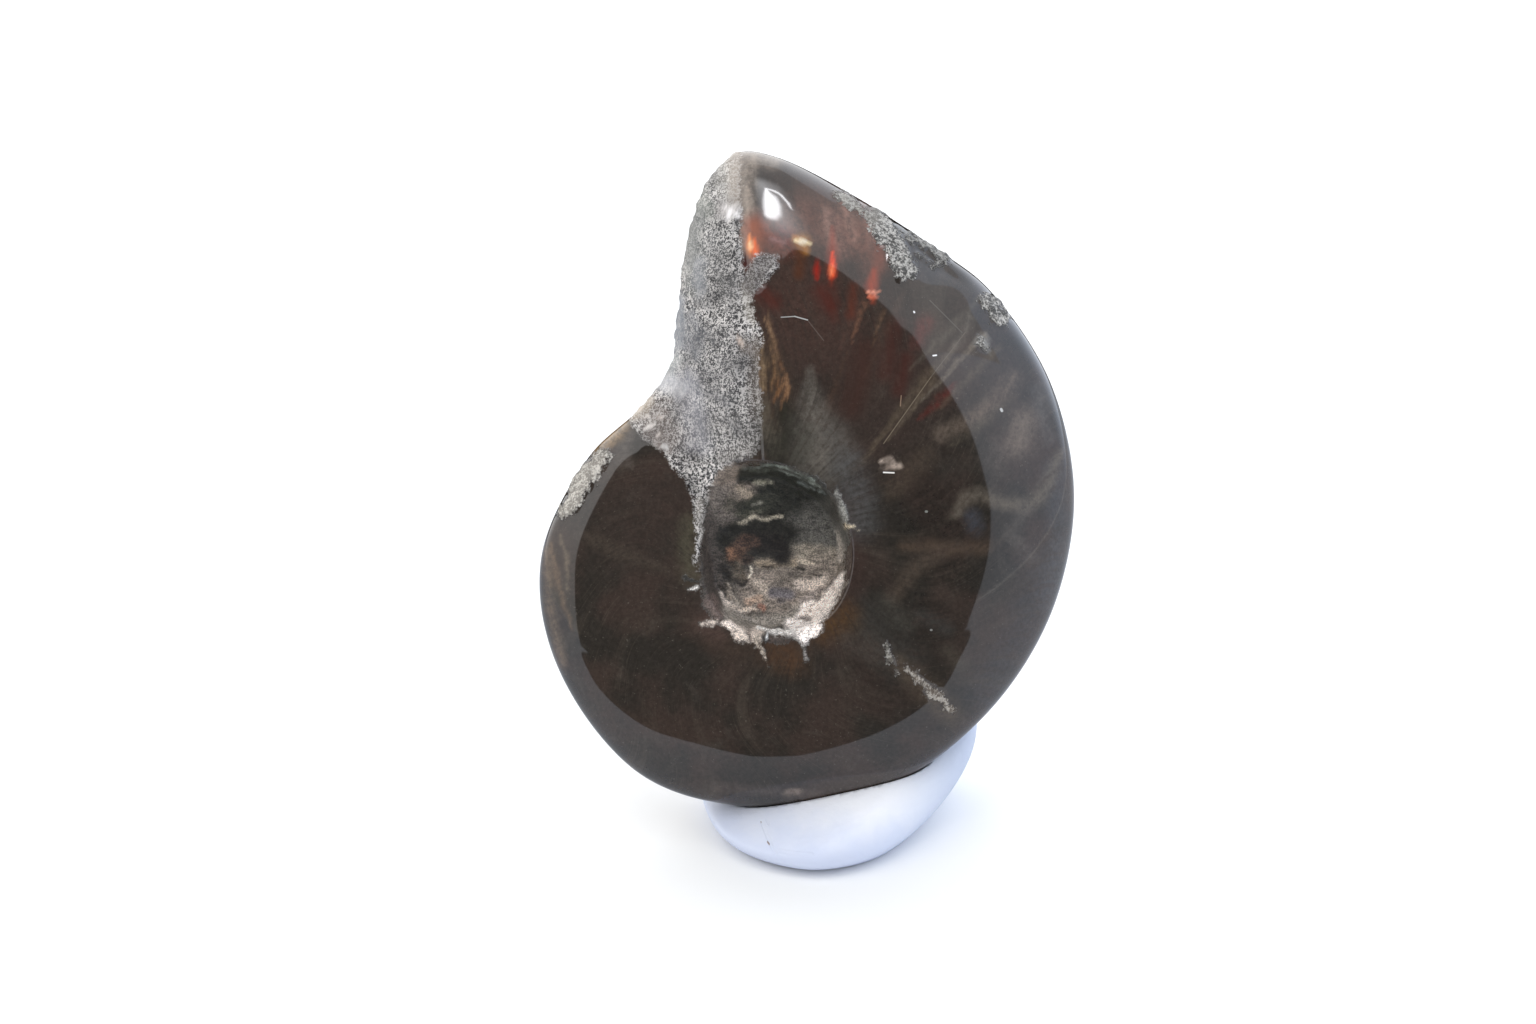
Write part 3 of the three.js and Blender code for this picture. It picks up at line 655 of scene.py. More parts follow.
# long thin marks, drawn by the material itself
hairlines = [
    ((1.3, 31.1), (3, 31.2), 0.06, (170, 170, 166)),
    ((3, 31.2), (4.6, 30.75), 0.06, (190, 190, 186)),
    ((4.7, 30.6), (6.6, 28.2), 0.05, (96, 84, 78)),
    ((24.3, 29.2), (20, 23.6), 0.04, (104, 96, 87)),
    ((20, 23.6), (14.1, 15.3), 0.05, (120, 108, 92)),
    ((19.9, 33.2), (23.9, 29.2), 0.05, (92, 88, 82)),
    ((16.3, 21.3), (16.2, 20), 0.05, (150, 125, 105)),
    ((14.1, 11.7), (15.4, 11.65), 0.08, (250, 246, 240)),
    ((17.9, 31.8), (17.95, 31.7), 0.1, (250, 250, 250)),
    ((20.3, 26.3), (20.7, 26.35), 0.09, (250, 250, 250)),
    ((28.8, 19.6), (28.9, 19.4), 0.16, (190, 190, 188)),
    ((19.4, 6.8), (19.5, 6.8), 0.14, (130, 132, 126)),
    ((20, -8), (20.1, -8), 0.12, (130, 130, 126)),
]

crust = [
    ([(8.4, 46.4), (11, 44.6), (13.1, 43.4)], 0.5),
    ([(13.3, 43.2), (15.4, 40.2), (16.8, 37)], 1.3),
    ([(17.4, 41), (22, 38.4)], 0.5),
    ([(18.2, 39), (20.6, 37.4)], 0.25),
    ([(27.2, 33), (28.8, 31)], 1),
    ([(25.9, 28.2), (26.6, 27.4)], 0.3),
    ([(-20.7, 13.9, 0.6), (-22.6, 11.9, 1.1), (-24.1, 9.4, 1), (-25.2, 7.4, 0.8), (-26, 6.4, 0.3)], 1.15),
    ([(14.5, -9.8, 0.4), (15, -11.6, 1), (15.7, -13.4, 0.5)], 0.3),
    ([(16.8, -12.6, 0.3), (18.6, -14.2, 0.7), (20, -15.6, 1.4), (22.6, -18, 0.8)], 0.45),
]
crustMarks = [
    ([(8.4, 46.4), (13, 43.4)], 1.2, (150, 144, 134), 0.5),
    ([(17.4, 40.4), (22, 38)], 1, (60, 60, 54), 0.4),
    ([(-21.6, 13.2), (-25.8, 6.8)], 1.6, (250, 240, 226), 0.25),
    ([(14.6, -9.8), (15.6, -13.2)], 1, (104, 98, 86), 0.5),
    ([(16.8, -12.6), (22.6, -18)], 1.4, (130, 108, 84), 0.35),
]
crustBehind = [
    ([(8, 44, 0.2), (13, 41.5, 0.9), (17, 38.6, 1), (22, 35, 0.2)], 1.5),
    ([(14, 43, 0.3), (19, 39, 0.8), (25, 34, 0.1)], 0.9),
    ([(30, 25, 0.3), (31.6, 20, 1), (31, 16, 0.2)], 0.9),
    ([(-20.6, 12, 0.3), (-23.6, 8.4, 1), (-24.6, 4, 0.3)], 1.1),
    ([(-13, -22.4, 0.2), (-9, -24.6, 1), (-5, -25.4, 0.3)], 0.8),
]
crustMarksBehind = [(path, width + 1, (112, 108, 100), 0.6) for path, width in crustBehind]

# flashes of opal fire and the reddish glow round them: painted sheen, the play of colour painted into the
# base colour, with painted highlights at the brightest cores
paintedFireSheen = [
    ([(-2.3, 42.4), (-2.2, 38)], 1, (146, 80, 52), 0.8),
    ([(-2.7, 41.2, 0.4), (-2.6, 40, 1), (-2.7, 38.9, 0.4)], 0.34, (255, 150, 78), 1),
    ([(-2.1, 40.8, 0.3), (-1.9, 39.4, 1), (-2, 38.3, 0.3)], 0.32, (250, 112, 48), 0.95),
    ([(-2.6, 40.5, 0.5), (-2.5, 40, 1)], 0.2, (255, 226, 176), 1),
    ([(-3.2, 38.6, 1), (-2.9, 37.6, 1), (-2.4, 36.5, 0.3)], 0.5, (46, 22, 32), 0.85),
    ([(3, 41, 0.4), (3.9, 40.5, 1), (4.4, 39.4, 0.5)], 0.8, (176, 122, 62), 0.9),
    ([(3, 40.8, 0.3), (4, 40.5, 1), (4.9, 40.3, 0.3)], 0.34, (255, 232, 184), 1),
    ([(3.7, 40.6), (4.2, 40.5)], 0.16, (255, 250, 234), 1),
    ([(3.8, 39.8), (3.5, 36.5)], 0.6, (96, 52, 26), 0.5),
    ([(7.7, 42.4, 0.3), (7.7, 39, 1), (7.6, 36.6, 1), (7.5, 35.2, 0.3)], 0.55, (150, 60, 42), 0.55),
    ([(7.75, 39.2, 0.2), (7.7, 37.6, 0.8), (7.7, 36.3, 0.8)], 0.34, (255, 80, 40), 1),
    ([(7.6, 37.6, 0.5), (7.6, 36.9, 1), (7.6, 36.2, 0.4)], 0.26, (255, 150, 104), 0.8),
    ([(5.8, 38.4, 0.2), (5.75, 37, 1), (5.8, 35.8, 0.4)], 0.36, (168, 38, 26), 0.8),
    ([(6.2, 34.4), (7.4, 32.6)], 0.9, (88, 36, 30), 0.5),
    ([(7.6, 35.4), (7.9, 31)], 0.6, (84, 38, 30), 0.35),
    ([(-1.4, 34.4), (0.4, 33)], 0.9, (88, 36, 29), 0.5),
    ([(10.4, 35), (10, 31.4)], 0.5, (104, 50, 34), 0.5),
    ([(13.3, 41.6, 0.3), (13.6, 38.4, 1), (12.9, 35.2, 0.8)], 0.6, (138, 78, 62), 0.55),
    ([(12.9, 37, 0.4), (12.6, 35, 1), (12.8, 33, 0.3)], 0.6, (162, 70, 48), 0.75),
    ([(11.9, 34.3, 0.3), (12.8, 34.2, 1), (13.5, 34.3, 0.3)], 0.15, (255, 168, 136), 1),
    ([(12, 33.7, 0.3), (12.8, 33.6, 1), (13.4, 33.7, 0.3)], 0.12, (255, 140, 106), 1),
    ([(15.6, 30), (14.4, 24)], 0.9, (76, 42, 36), 0.5),
    ([(12, 27), (10, 20)], 1.4, (66, 42, 36), 0.5),
    ([(17, 26), (16, 22)], 0.8, (76, 38, 32), 0.5),
]


def gather(x, v, marks, fuzz=0.95):
    # soft strokes laid over each other, as a colour already scaled by its share, and the share
    paint = np.zeros((len(x), 4))
    for path, width, colour, strength in marks:
        share = strength * strokeShare(x, v, path, width, fuzz)
        paint = paint * (1 - share[:, None]) + share[:, None] * np.array([*sRgb(*colour), 1])
    return paint


def sweepDirections(x, v, n):
    # coordinates that run along the shell's growth lines
    lines = fossil["growthLines"]
    angle = np.degrees(np.arctan2(v, x)) % 360
    growth = np.where(angle < lines["from"], angle + 360, angle)
    across = (np.hypot(x, v) - lines["inner"]) / (whorlRadius(growth) - lines["inner"])
    depth, waves = lines["bend"]
    along = growth / lines["degrees"] + depth * np.sin(across * waves)
    return np.stack([along, across * lines["across"], np.sign(n) * 3, np.ones(len(x))], 1)


def paintAndRelief(piece, flat):
    # attributes for the material, and the low relief of crust, infill and bare stone
    x, v, n = flat.T
    behind = smoothStep(*fossil["fadeBehind"], n)
    camera = studio["distance"] / (studio["distance"] - np.maximum(n, fossil["fadeBehind"][1]))
    seenX = blend(studio["aim"][0], x, camera)
    seenV = blend(studio["aim"][1], v, camera)
    points = readPoints(piece)
    far, size = fossil["edgeWaves"]
    wavy = [seen + far * lumps(points, size, 3, seed) for seen, seed in ((seenX, 1), (seenV, 2))]
    wavyX, wavyV = wavy
    turn = radians(fossil["turnBehind"])
    turned = (wavyX * cos(turn) - wavyV * sin(turn), wavyX * sin(turn) + wavyV * cos(turn))
    upsideDown = (wavyX, 2 * fossil["stoneMiddle"] - wavyV)

    def bothSides(strokes, hidden, fuzz=0.95):
        return blend(gather(*wavy, strokes, fuzz), gather(*hidden, strokes, fuzz), behind[:, None])

    stone = blend(insideDistance(*wavy, bareStone), insideDistance(*wavy, bareStoneBehind), behind)
    filled = blend(deepest(*wavy, umbilicusMarks), deepest(*turned, umbilicusMarks), behind)
    umbilicus = np.maximum(insideDistance(*wavy, umbilicusEdge), filled)
    crusted = blend(deepest(*wavy, crust), deepest(*wavy, crustBehind), behind)
    far, size = fossil["crustWaves"]
    crusted += far * lumps(points, size, 2, 8) * smoothStep(5, -1, n)
    umbilicusPaint = bothSides([(*mark, 1) for mark in umbilicusMarks], turned, 0.4)
    crustPaint = blend(gather(*wavy, crustMarks), gather(*wavy, crustMarksBehind), behind[:, None])
    store(piece, "stone", stone)
    store(piece, "umbilicus", umbilicus)
    store(piece, "crust", crusted)
    store(piece, "umbilicus_paint", umbilicusPaint)
    store(piece, "shell_paint", bothSides(shellMarks, turned))
    store(piece, "paintedFireSheen", gather(seenX, seenV, paintedFireSheen) * (1 - behind[:, None]))
    store(piece, "stone_paint", bothSides(stoneMarks, upsideDown, 0.6))
    store(piece, "crust_paint", crustPaint)
    store(piece, "seen", np.stack([seenX, seenV, 9 * behind, np.ones(len(x))], 1))
    store(piece, "sweep", sweepDirections(x, v, n))

    relief = fossil["relief"]
    inStone = smoothStep(-0.1, 0.3, stone)
    inUmbilicus = smoothStep(-0.2, 0.5, umbilicus) * (1 - inStone)
    inCrust = smoothStep(-0.25, 0.25, crusted)
    height = relief["shell"] * lumps(points, 13, 2, 3) * (1 - inStone)
    broad, small = relief["stone"]
    height += inStone * (broad * lumps(points, 3.2, 3, 4) + small * lumps(points, 0.8, 2, 5))
    broad, small = relief["infill"]
    bright = np.sqrt(umbilicusPaint[:, 1]) - 0.3 * umbilicusPaint[:, 3]
    height += inUmbilicus * (broad * bright + small * lumps(points, 1.1, 3, 6))
    broad, small = relief["crust"]
    height += inCrust * (broad + small * lumps(points, 0.9, 3, 7))
    writePoints(piece, points + vertexNormals(piece) * height[:, None])


ammonite, coilPoints = fossilMesh("ammonite_fossil", fossil["columns"], fossil["rings"])
low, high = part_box("ammonite")
found = readPoints(ammonite)
coilPlace = np.array((low + high) / 2) / mm - (found.min(0) + found.max(0)) / 2
writePoints(ammonite, found + coilPlace)
paintAndRelief(ammonite, coilPoints)
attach(ammonite, "root")
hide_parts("ammonite")
print("fossil shaped", len(ammonite.data.polygons), "faces, moved", coilPlace.round(3))


# Materials

class NodeMaker:
    def __init__(self, tree):
        self.tree = tree

    def add(self, kind, settings=None, **inputs):
        made = self.tree.nodes.new(kind)
        for key, value in (settings or {}).items():
            setattr(made, key, value)
        for key, value in inputs.items():
            self.feed(made.inputs[key.replace("_", " ")], value)
        return made

    def feed(self, socket, value):
        if isinstance(value, bpy.types.NodeSocket):
            self.tree.links.new(value, socket)
        else:
            socket.default_value = value

    def math(self, operation, a, b=0.0, c=0.0):
        made = self.add("ShaderNodeMath", {"operation": operation})
        for socket, value in zip(made.inputs, (a, b, c)):
            self.feed(socket, value)
        return made.outputs[0]

    def ramp(self, value, low, high, outLow=0.0, outHigh=1.0):
        ends = {"From_Min": low, "From_Max": high, "To_Min": outLow, "To_Max": outHigh}
        made = self.add("ShaderNodeMapRange", {"interpolation_type": "SMOOTHSTEP"}, Value=value, **ends)
        return made.outputs[0]

    def mix(self, share, a, b, how="MIX"):
        made = self.add("ShaderNodeMix", {"data_type": "RGBA", "blend_type": how})
        self.feed(made.inputs[0], share)
        self.feed(made.inputs[6], (*a, 1) if isinstance(a, tuple) else a)
        self.feed(made.inputs[7], (*b, 1) if isinstance(b, tuple) else b)
        return made.outputs[2]

    def between(self, share, a, b):
        made = self.add("ShaderNodeMix", {"data_type": "FLOAT"})
        for number, value in ((0, share), (2, a), (3, b)):
            self.feed(made.inputs[number], value)
        return made.outputs[0]

    def vector(self, operation, a, b=(0, 0, 0), output="Vector"):
        made = self.add("ShaderNodeVectorMath", {"operation": operation})
        self.feed(made.inputs[0], a)
        if operation == "SCALE":
            self.feed(made.inputs["Scale"], b)
        else:
            self.feed(made.inputs[1], b)
        return made.outputs[output]


class MaterialMaker(NodeMaker):
    def __init__(self, name):
        self.material = bpy.data.materials.new(name)
        self.material.use_nodes = True
        super().__init__(self.material.node_tree)
        self.tree.nodes.clear()
        self.shader = self.add("ShaderNodeBsdfPrincipled")
        output = self.add("ShaderNodeOutputMaterial")
        self.tree.links.new(self.shader.outputs[0], output.inputs["Surface"])

    def noise(self, size, detail=3.0, roughness=0.5, distortion=0.0, longer=(1, 1, 1)):
        # size is in millimetres; longer stretches it along x, the coil's axis and v
        coordinates = self.add("ShaderNodeTexCoord").outputs["Object"]
        placed = self.add(
            "ShaderNodeMapping", {"vector_type": "TEXTURE"}, Vector=coordinates, Scale=longer,
            Rotation=(-radians(fossil["leanBack"]), 0, 0),
        )
        made = self.add(
            "ShaderNodeTexNoise", Vector=placed.outputs[0], Scale=1 / (size * mm), Detail=detail,
            Roughness=roughness, Distortion=distortion,
        )
        return made.outputs["Fac"]

    def layer(self, name, output="Fac"):
        settings = {"attribute_name": name, "attribute_type": "GEOMETRY"}
        return self.add("ShaderNodeAttribute", settings).outputs[output]

    def painted(self, colour, name, broken=1.0):
        # strokes that are kept in the mesh, over a colour
        kept = self.mix(self.math("MULTIPLY", self.layer(name, "Alpha"), broken), colour, (0, 0, 0))
        return self.mix(1.0, kept, self.vector("SCALE", self.layer(name, "Color"), broken), "ADD")

    def bump(self, height, distance, strength=1.0):
        # distance is in millimetres
        return self.add("ShaderNodeBump", Height=height, Distance=distance * mm, Strength=strength).outputs[0]

    def finish(self, **inputs):
        for key, value in inputs.items():
            self.feed(self.shader.inputs[key.replace("_", " ")], value)
        return self.material


shellFinish = {
    "dark": sRgb(49, 45, 41),
    "brown": sRgb(62, 52, 47),
    "smoke": sRgb(76, 70, 64),
    "band": sRgb(78, 70, 62),
    "dust": sRgb(128, 122, 112),
    "refraction": 1.62,
    "stoneGrain": (0.43, 0.57),
    # how ragged, how soft and how grainy the edge of each is
    "edges": {"stone": (1.1, 0.3, 0.6), "umbilicus": (1.6, 0.3, 0.8), "crust": (2.4, 0.2, 1.6)},
    "roughness": {"shell": 0.045, "infill": 0.5, "stone": 0.42, "crust": 0.75},
    "bumps": {"infill": 0.06, "stone": 0.03, "crust": 0.1},
    "darkGrain": sRgb(30, 28, 29),
    "lightGrain": sRgb(224, 219, 215),
    "umbilicus": sRgb(58, 54, 47),
    "crustDark": sRgb(66, 64, 60),
    "crustLight": sRgb(200, 196, 189),
}


def lineShare(make, seen, start, stop, width):
    # a thin straight mark from one point to another, crisp at any distance
    (ax, av), (bx, bv) = start, stop
    length = ((bx - ax) ** 2 + (bv - av) ** 2) ** 0.5
    along = ((bx - ax) / length, (bv - av) / length, 0)
    fromStart = make.vector("SUBTRACT", seen, (ax, av, 0))
    reach = make.math("MAXIMUM", make.vector("DOT_PRODUCT", fromStart, along, "Value"), 0)
    reach = make.math("MINIMUM", reach, length)
    distance = make.vector("DISTANCE", fromStart, make.vector("SCALE", along, reach), "Value")
    return make.ramp(distance, width + 0.05, width - 0.05)


def shellMaterial():
    look = shellFinish
    make = MaterialMaker("polished_ammonite_shell")
    tiny = make.noise(0.17, 2, 0.6)
    fine = make.noise(0.34, 3, 0.7)
    grit = make.noise(0.9, 3, 0.6)
    ragged = make.math("SUBTRACT", grit, 0.5)

    def mask(name):
        rough, soft, grainy = look["edges"][name]
        edge = make.math("MULTIPLY_ADD", ragged, rough, make.layer(name))
        edge = make.math("MULTIPLY_ADD", make.math("SUBTRACT", fine, 0.5), grainy, edge)
        return make.ramp(edge, -soft, soft)

    def swept(scale, detail, roughness):
        # noise that runs along the growth lines
        placed = make.add("ShaderNodeMapping", Vector=make.layer("sweep", "Vector"), Scale=scale).outputs[0]
        made = make.add("ShaderNodeTexNoise", Vector=placed, Scale=1.0, Detail=detail, Roughness=roughness)
        return made.outputs["Fac"]

    shell = make.mix(make.ramp(make.noise(8, 4), 0.38, 0.62), look["dark"], look["brown"])
    shell = make.mix(make.ramp(make.noise(3.4, 5, 0.65, 0.8), 0.54, 0.74, 0, 0.36), shell, look["smoke"])
    shell = make.mix(make.ramp(swept((1, 1, 1), 3.0, 0.5), 0.52, 0.72, 0, 0.4), shell, look["band"])
    lines = swept((5, 1.2, 1), 4.0, 0.6)
    shell = make.mix(make.ramp(swept((16, 1.6, 1), 4.0, 0.7), 0.52, 0.74, 0, 0.5), shell, look["band"])
    shell = make.mix(make.ramp(make.noise(0.3, 2, 0.6), 0.66, 0.76, 0, 0.3), shell, look["dust"])
    speckle = make.math("ADD", lines, make.noise(0.8, 4, 0.7))
    shell = make.painted(shell, "shell_paint", make.ramp(speckle, 0.75, 1.15, 0.4, 1.0))
    shell = make.vector("SCALE", shell, make.ramp(make.noise(0.5, 4, 0.75), 0.3, 0.7, 0.84, 1.16))
    # the fire flashes: painted sheen and painted highlights
    shell = make.painted(shell, "paintedFireSheen", make.ramp(lines, 0.3, 0.6, 0.7, 1.0))
    seen = make.layer("seen", "Vector")
    for start, stop, width, rgb in hairlines:
        shell = make.mix(lineShare(make, seen, start, stop, width), shell, sRgb(*rgb))

    # bare stone, with a fine grain and a faint weave across and up it
    across, upward = (make.noise(0.2, 2, 0.6, longer=longer) for longer in ((4, 1, 1), (1, 1, 4)))
    weave = make.math("MAXIMUM", across, upward)
    salt = make.math("MULTIPLY_ADD", make.math("SUBTRACT", weave, 0.57), 0.6, fine)
    salt = make.math("MULTIPLY_ADD", ragged, 0.3, salt)
    salt = make.math("MULTIPLY_ADD", make.math("SUBTRACT", tiny, 0.5), 0.6, salt)
    stone = make.mix(make.ramp(salt, *look["stoneGrain"]), look["darkGrain"], look["lightGrain"])
    stone = make.vector("SCALE", stone, make.ramp(make.noise(4, 4, 0.6), 0.35, 0.65, 0.5, 1.04))
    stone = make.painted(stone, "stone_paint", make.ramp(salt, *look["stoneGrain"], 1.0, 0.72))

    umbilicus = make.painted(look["umbilicus"], "umbilicus_paint", make.ramp(fine, 0.3, 0.5, 0.75, 1.0))
    umbilicus = make.vector("SCALE", umbilicus, make.ramp(tiny, 0.36, 0.64, 0.6, 1.5))
    streaky = make.noise(0.7, 4, 0.7, 1.2, longer=(2.2, 1, 1))
    umbilicus = make.vector("SCALE", umbilicus, make.ramp(streaky, 0.36, 0.6, 0.62, 1.36))
    clumps = make.math("ADD", make.noise(0.8, 4, 0.7), make.noise(0.28, 3, 0.7))
    crusty = make.mix(make.ramp(clumps, 0.9, 1.16), look["crustDark"], look["crustLight"])
    crusty = make.painted(crusty, "crust_paint")

    inStone, inUmbilicus, inCrust = (mask(name) for name in ("stone", "umbilicus", "crust"))
    colour = make.mix(inUmbilicus, shell, umbilicus)
    colour = make.mix(inStone, colour, stone)
    colour = make.mix(inCrust, colour, crusty)
    roughness, grain = look["roughness"]["shell"], 0.0
    for name, there in (("infill", inUmbilicus), ("stone", inStone), ("crust", inCrust)):
        roughness = make.between(there, roughness, look["roughness"][name])
        grain = make.between(there, grain, look["bumps"][name])
    height = make.math("MULTIPLY", make.math("ADD", fine, tiny), grain)
    bump = make.bump(height, 1.0)
    return make.finish(Base_Color=colour, Roughness=roughness, IOR=look["refraction"], Normal=bump)


ammonite.data.materials.append(shellMaterial())

# The putty

putty = {
    "base": [
        (-5.5, -9), (-2, -15), (5, -18), (12, -16), (17.5, -9),
        (20, 0), (18, 9), (9, 13.5), (-2, 10), (-6, 1),
    ],
    "rim": [
        (-7.8, -9, 2.6), (-3.6, -16.4, 2.2), (5, -20.4, 1.8), (13, -18, 2.6), (21, -10, 5.5),
        (26.3, -1, 10), (25.5, 8, 10), (14.5, 17, 7), (-1, 14, 5), (-8.5, 3, 4),
    ],
    "middle": (7, -2),
    "top": {"height": 5.6, "risePerX": 0.27, "risePerY": 0.24, "atX": -4, "atY": -10},
    # the rings of the mesh: shares of the underside, of the side's height, and of the turn over the top
    "underRings": (0.3, 0.6, 0.85, 0.95),
    "sideRings": (0.08, 0.94, 12),
    "topRings": (0, 0.97, 40),
    "pressGap": 0.15,
    "pressColumns": 140,
    "pressRings": (8, 4, 24, 2),
    # x and z of the dents and dark specks on the front, and their half-widths
    "creases": [
        ((-1.7, 4.9), (0.6, 2.6), 0.16), ((-1.2, 5.2), (-0.3, 4.4), 0.12), ((1, 2.9), (5, 3.1), 0.14),
    ],
    "specks": [((-0.4, 3.3), (-0.2, 3.2), 0.07), ((-1.3, 4.4), (-1.2, 4.3), 0.05)],
    "creaseDepth": 0.05,
    "frontEnds": (-14, -8),  # y where the front's marks fade
    "columns": 220,
    "roughness": 0.42,
    # the bluish low sides and the white top are painted shade and light over the putty's own bluish white,
    # and grey is painted shade at its right end
    "shadedLowBlue": sRgb(214, 222, 243),
    "white": sRgb(248, 249, 253),
    "grey": sRgb(198, 207, 226),
    "speck": sRgb(150, 130, 122),
}


def puttyTopAt(x, y):
    top = putty["top"]
    return top["height"] + top["risePerX"] * (x - top["atX"]) + top["risePerY"] * (y - top["atY"])


def puttyMesh():
    # the same count of points on both lines, evenly spaced along each, so that they stay side by side
    base = closedCurve([(*corner, 0) for corner in putty["base"]], putty["columns"])
    rim = closedCurve(putty["rim"], putty["columns"])
    middle = np.array([*putty["middle"], 0.0])
    rings = [blend(middle, base, share) for share in putty["underRings"]]
    rings.append(base)
    for rise in np.linspace(*putty["sideRings"]):
        side = blend(base, rim, np.sin(rise * np.pi / 2))
        side[:, 2] = rim[:, 2] * rise
        rings.append(side)
    for turn in np.linspace(*putty["topRings"]):
        top = blend(rim, middle, 1 - np.cos(turn * np.pi / 2))
        top[:, 2] = blend(rim[:, 2], puttyTopAt(top[:, 0], top[:, 1]), np.sin(turn * np.pi / 2) ** 0.8)
        rings.append(top)
    crown = np.array([*putty["middle"], puttyTopAt(*putty["middle"])])
    shift = np.array([*coilPlace[:2], 0])
    return ringMesh("putty_wad", middle + shift, [ring + shift for ring in rings], crown + shift)


def pressFossilIn(wad):
    rings = {side: putty["pressRings"] for side in ("front", "back")}
    cutter, _ = fossilMesh("press", putty["pressColumns"], rings)
    writePoints(cutter, readPoints(cutter) + coilPlace + vertexNormals(cutter) * putty["pressGap"])
    cut = wad.modifiers.new("press", "BOOLEAN")
    cut.operation = "DIFFERENCE"
    cut.object = cutter
    cut.solver = "EXACT"
    bpy.context.view_layer.update()
    made = bpy.data.meshes.new_from_object(wad.evaluated_get(bpy.context.evaluated_depsgraph_get()))
    wad.modifiers.clear()
    wad.data = made
    bpy.data.objects.remove(cutter)


wad = puttyMesh()
pressFossilIn(wad)
wadPoints = readPoints(wad) - [*coilPlace[:2], 0]
wadBehind = smoothStep(*putty["frontEnds"], wadPoints[:, 1])
store(wad, "seen", np.stack([wadPoints[:, 0], wadPoints[:, 2], 9 * wadBehind, np.ones(len(wadPoints))], 1))
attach(wad, "root")
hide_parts("putty_rest")


def puttyMaterial():
    make = MaterialMaker("white_putty")
    seen = make.layer("seen", "Vector")
    place = make.add("ShaderNodeSeparateXYZ", Vector=seen)
    # painted shade and light: bluish and darker low down, whiter towards the top where the light falls
    heightForShade = make.math("MULTIPLY_ADD", make.noise(6, 3, 0.6), 4, place.outputs["Y"])
    tone = make.mix(make.ramp(heightForShade, 4, 10), putty["shadedLowBlue"], putty["white"])
    # painted shade: greyer towards the right end
    tone = make.mix(make.ramp(place.outputs["X"], 13, 25), tone, putty["grey"])
    height = make.math("MULTIPLY", make.noise(1.6, 4, 0.6), 0.12)
    for start, stop, width in putty["creases"]:
        dent = lineShare(make, seen, start, stop, width)
        height = make.math("MULTIPLY_ADD", dent, -putty["creaseDepth"], height)
    for start, stop, width in putty["specks"]:
        tone = make.mix(lineShare(make, seen, start, stop, width), tone, putty["speck"])
    return make.finish(Base_Color=tone, Roughness=putty["roughness"], Normal=make.bump(height, 1.0))


wad.data.materials.append(puttyMaterial())
print("putty shaped", len(wad.data.polygons), "faces")

# The table, the light and the camera

def square(half, height):
    return [(-half, -half, height), (half, -half, height), (half, half, height), (-half, half, height)]


def table():
    mesh = bpy.data.meshes.new("table")
    mesh.from_pydata(square(studio["tableReach"] * mm, 0), [], [(0, 1, 2, 3)])
    make = MaterialMaker("white_table")
    mesh.materials.append(make.finish(Base_Color=(*studio["tableColour"], 1), Roughness=0.9))
    floor = newObject("table", mesh)


def surroundings():
    # white all round, brighter overhead and bluish to the right
    world = bpy.data.worlds.new("white_room")
    world.use_nodes = True
    make = NodeMaker(world.node_tree)
    around = make.add("ShaderNodeTexCoord").outputs["Generated"]
    right, away, up = make.add("ShaderNodeSeparateXYZ", Vector=around).outputs
    total = make.ramp(up, 0.1, 0.95, studio["light"], studio["light"] + studio["overhead"])
    total = make.math("ADD", total, make.ramp(right, 0.0, 0.9, 0.0, studio["right"]))
    total = make.math("ADD", total, make.ramp(right, 0.0, -0.9, 0.0, studio["left"]))
    total = make.math("ADD", total, make.ramp(away, 0.1, 0.9, 0.0, studio["behind"]))
    background = world.node_tree.nodes["Background"]
    tint = make.mix(make.ramp(right, 0.0, 0.9), (1, 1, 1), studio["rightTint"])
    make.feed(background.inputs["Color"], tint)
    make.feed(background.inputs["Strength"], total)
    bpy.context.scene.world = world


def coilPoint(x, v, n):
    return Vector((toWorld(np.array(x), np.array(v), np.array(n)) + coilPlace) * mm)


def onlyInPolish(piece):
    for kind in ("camera", "diffuse", "transmission", "volume_scatter", "shadow"):
        setattr(piece, "visible_" + kind, False)


def reflectedCard(name, points, tone):
    # a flat card that only the polish shows
    mesh = bpy.data.meshes.new(name)
    mesh.from_pydata(points, [], [tuple(range(len(points)))])
    make = MaterialMaker(name)
    mesh.materials.append(make.finish(Base_Color=(*tone, 1), Roughness=1.0, Specular_IOR_Level=0.0))
    onlyInPolish(newObject(name, mesh))


def darkRoom():
    # behind the camera, the like of it behind the fossil, and on the table in front
    wall = closedCurve(studio["card"], 160)
    for name, side in (("dark_room", 1), ("dark_room_behind", -1)):
        points = [coilPoint(x, v, side * studio["cardDistance"]) for x, v in wall]
        reflectedCard(name, points, studio["darkTone"])
    floor = closedCurve(studio["darkTable"], 200) + coilPlace[:2]
    height = studio["aboveTable"]["dark"] * mm
    reflectedCard("dark_table", [(x * mm, y * mm, height) for x, y in floor], studio["darkTone"])
    grey = square(studio["greyTable"]["reach"] * mm, studio["aboveTable"]["grey"] * mm)
    reflectedCard("grey_table", grey, studio["greyTable"]["tone"])


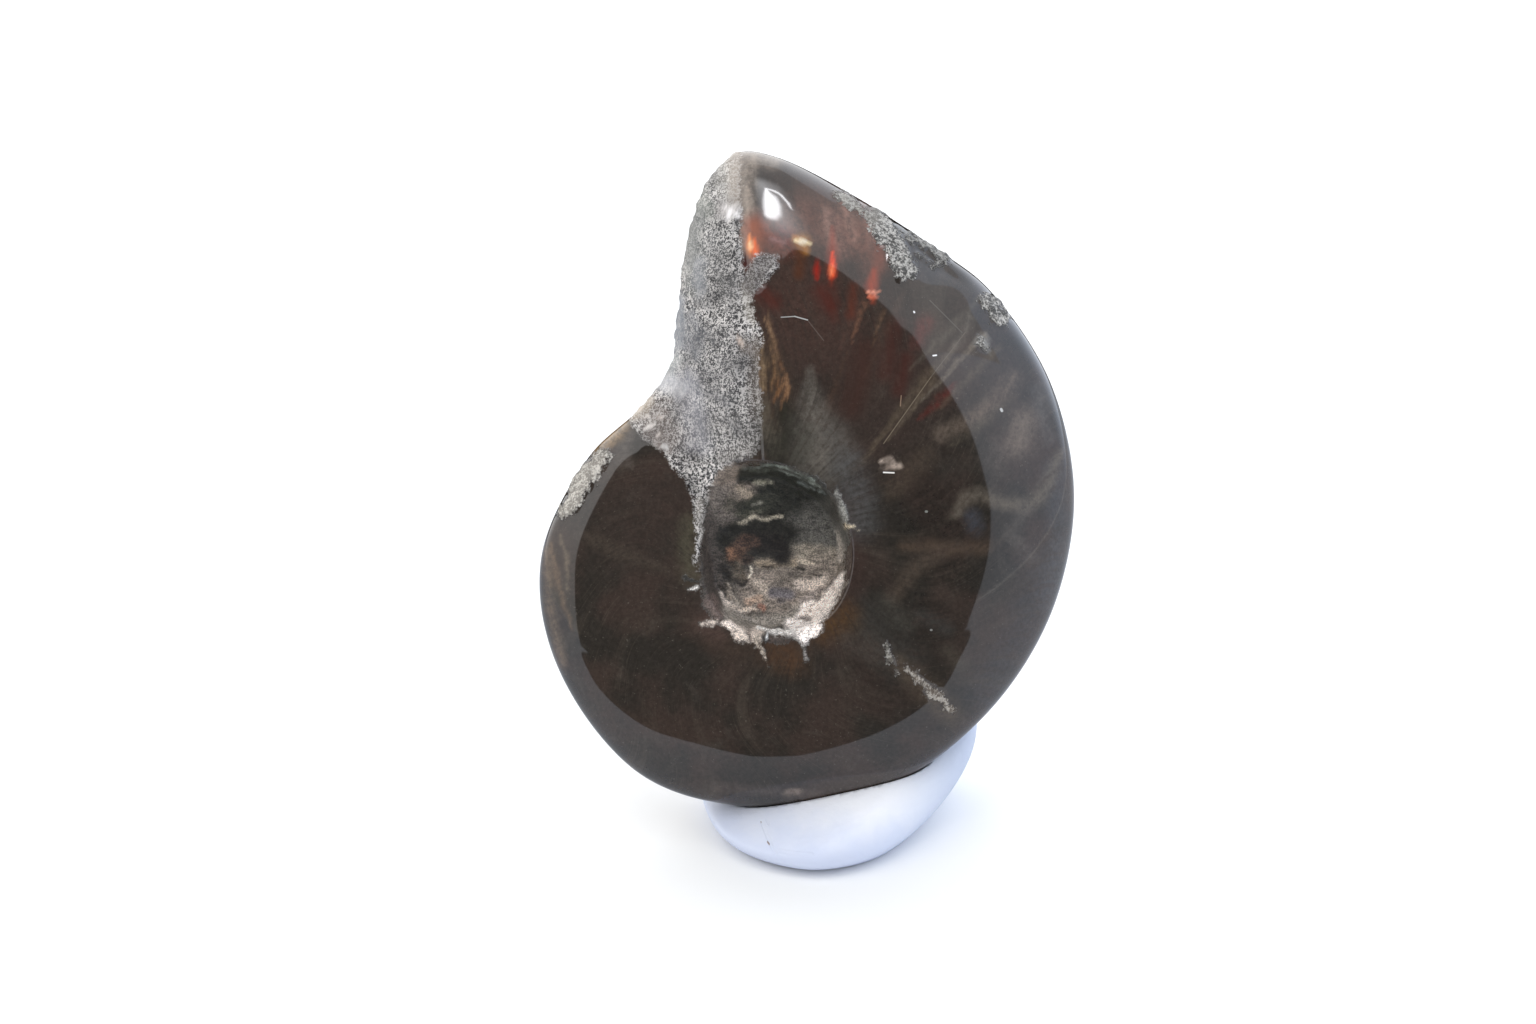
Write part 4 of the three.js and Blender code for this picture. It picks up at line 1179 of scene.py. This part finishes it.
def lamps():
    # a bright panel square on to the shell's nose, and the card that the polish shows in its place
    lamp = studio["lamp"]
    toward = (coilPoint(*[1000 * k for k in lamp["toward"]]) - coilPoint(0, 0, 0)).normalized()
    turned = (-toward).to_track_quat("-Z", "Y").to_euler()
    place = coilPoint(*studio["nose"]) + toward * lamp["away"] * mm
    light = bpy.data.lights.new("lamp", "AREA")
    light.shape = "ELLIPSE"
    light.size = lamp["across"] * mm
    light.size_y = lamp["up"] * mm
    light.energy = lamp["shine"] * pi * pi / 4 * light.size * light.size_y
    panel = newObject("lamp", light)
    panel.visible_glossy = False
    card = lampCard()
    for piece in (panel, card):
        piece.location = place
        piece.rotation_euler = turned
    onlyInPolish(card)


def lampCard():
    # the lamp's reflections, as a grid that shines where they are drawn
    look = studio["lampCard"]
    count = look["cells"] + 1
    line = np.linspace(-0.5, 0.5, count) * look["across"]
    across, up = (k.ravel() for k in np.meshgrid(line, line))
    corner = (np.arange(look["cells"])[:, None] * count + np.arange(look["cells"])).ravel()
    faces = np.stack([corner, corner + 1, corner + count + 1, corner + count], 1)
    mesh = bpy.data.meshes.new("lamp_card")
    mesh.from_pydata((np.stack([across, up, 0 * up], 1) * mm).tolist(), [], faces.tolist())
    card = newObject("lamp_card", mesh)
    shine = np.full(len(across), studio["light"] + studio["overhead"])
    for path, width, fuzz, bright in studio["glints"]:
        shine += bright * strokeShare(across, up, path, width, fuzz)
    store(card, "shine", shine)
    make = MaterialMaker("lamp_card")
    mesh.materials.append(make.finish(
        Base_Color=(0, 0, 0, 1), Specular_IOR_Level=0.0, Emission_Color=look["colour"],
        Emission_Strength=make.layer("shine"),
    ))
    return card


def camera():
    eye = newObject("camera", bpy.data.cameras.new("camera"))
    eye.data.lens = studio["lens"]
    eye.data.sensor_width = studio["sensor"]
    eye.data.clip_start = studio["nearest"] * mm
    eye.location = coilPoint(*studio["aim"], studio["distance"])
    eye.rotation_euler = (radians(90 - fossil["leanBack"]), 0, 0)
    bpy.context.scene.camera = eye


table()
surroundings()
darkRoom()
lamps()
camera()
bpy.context.scene.view_settings.view_transform = "Standard"
bpy.context.scene.view_settings.look = "None"
print("studio set")
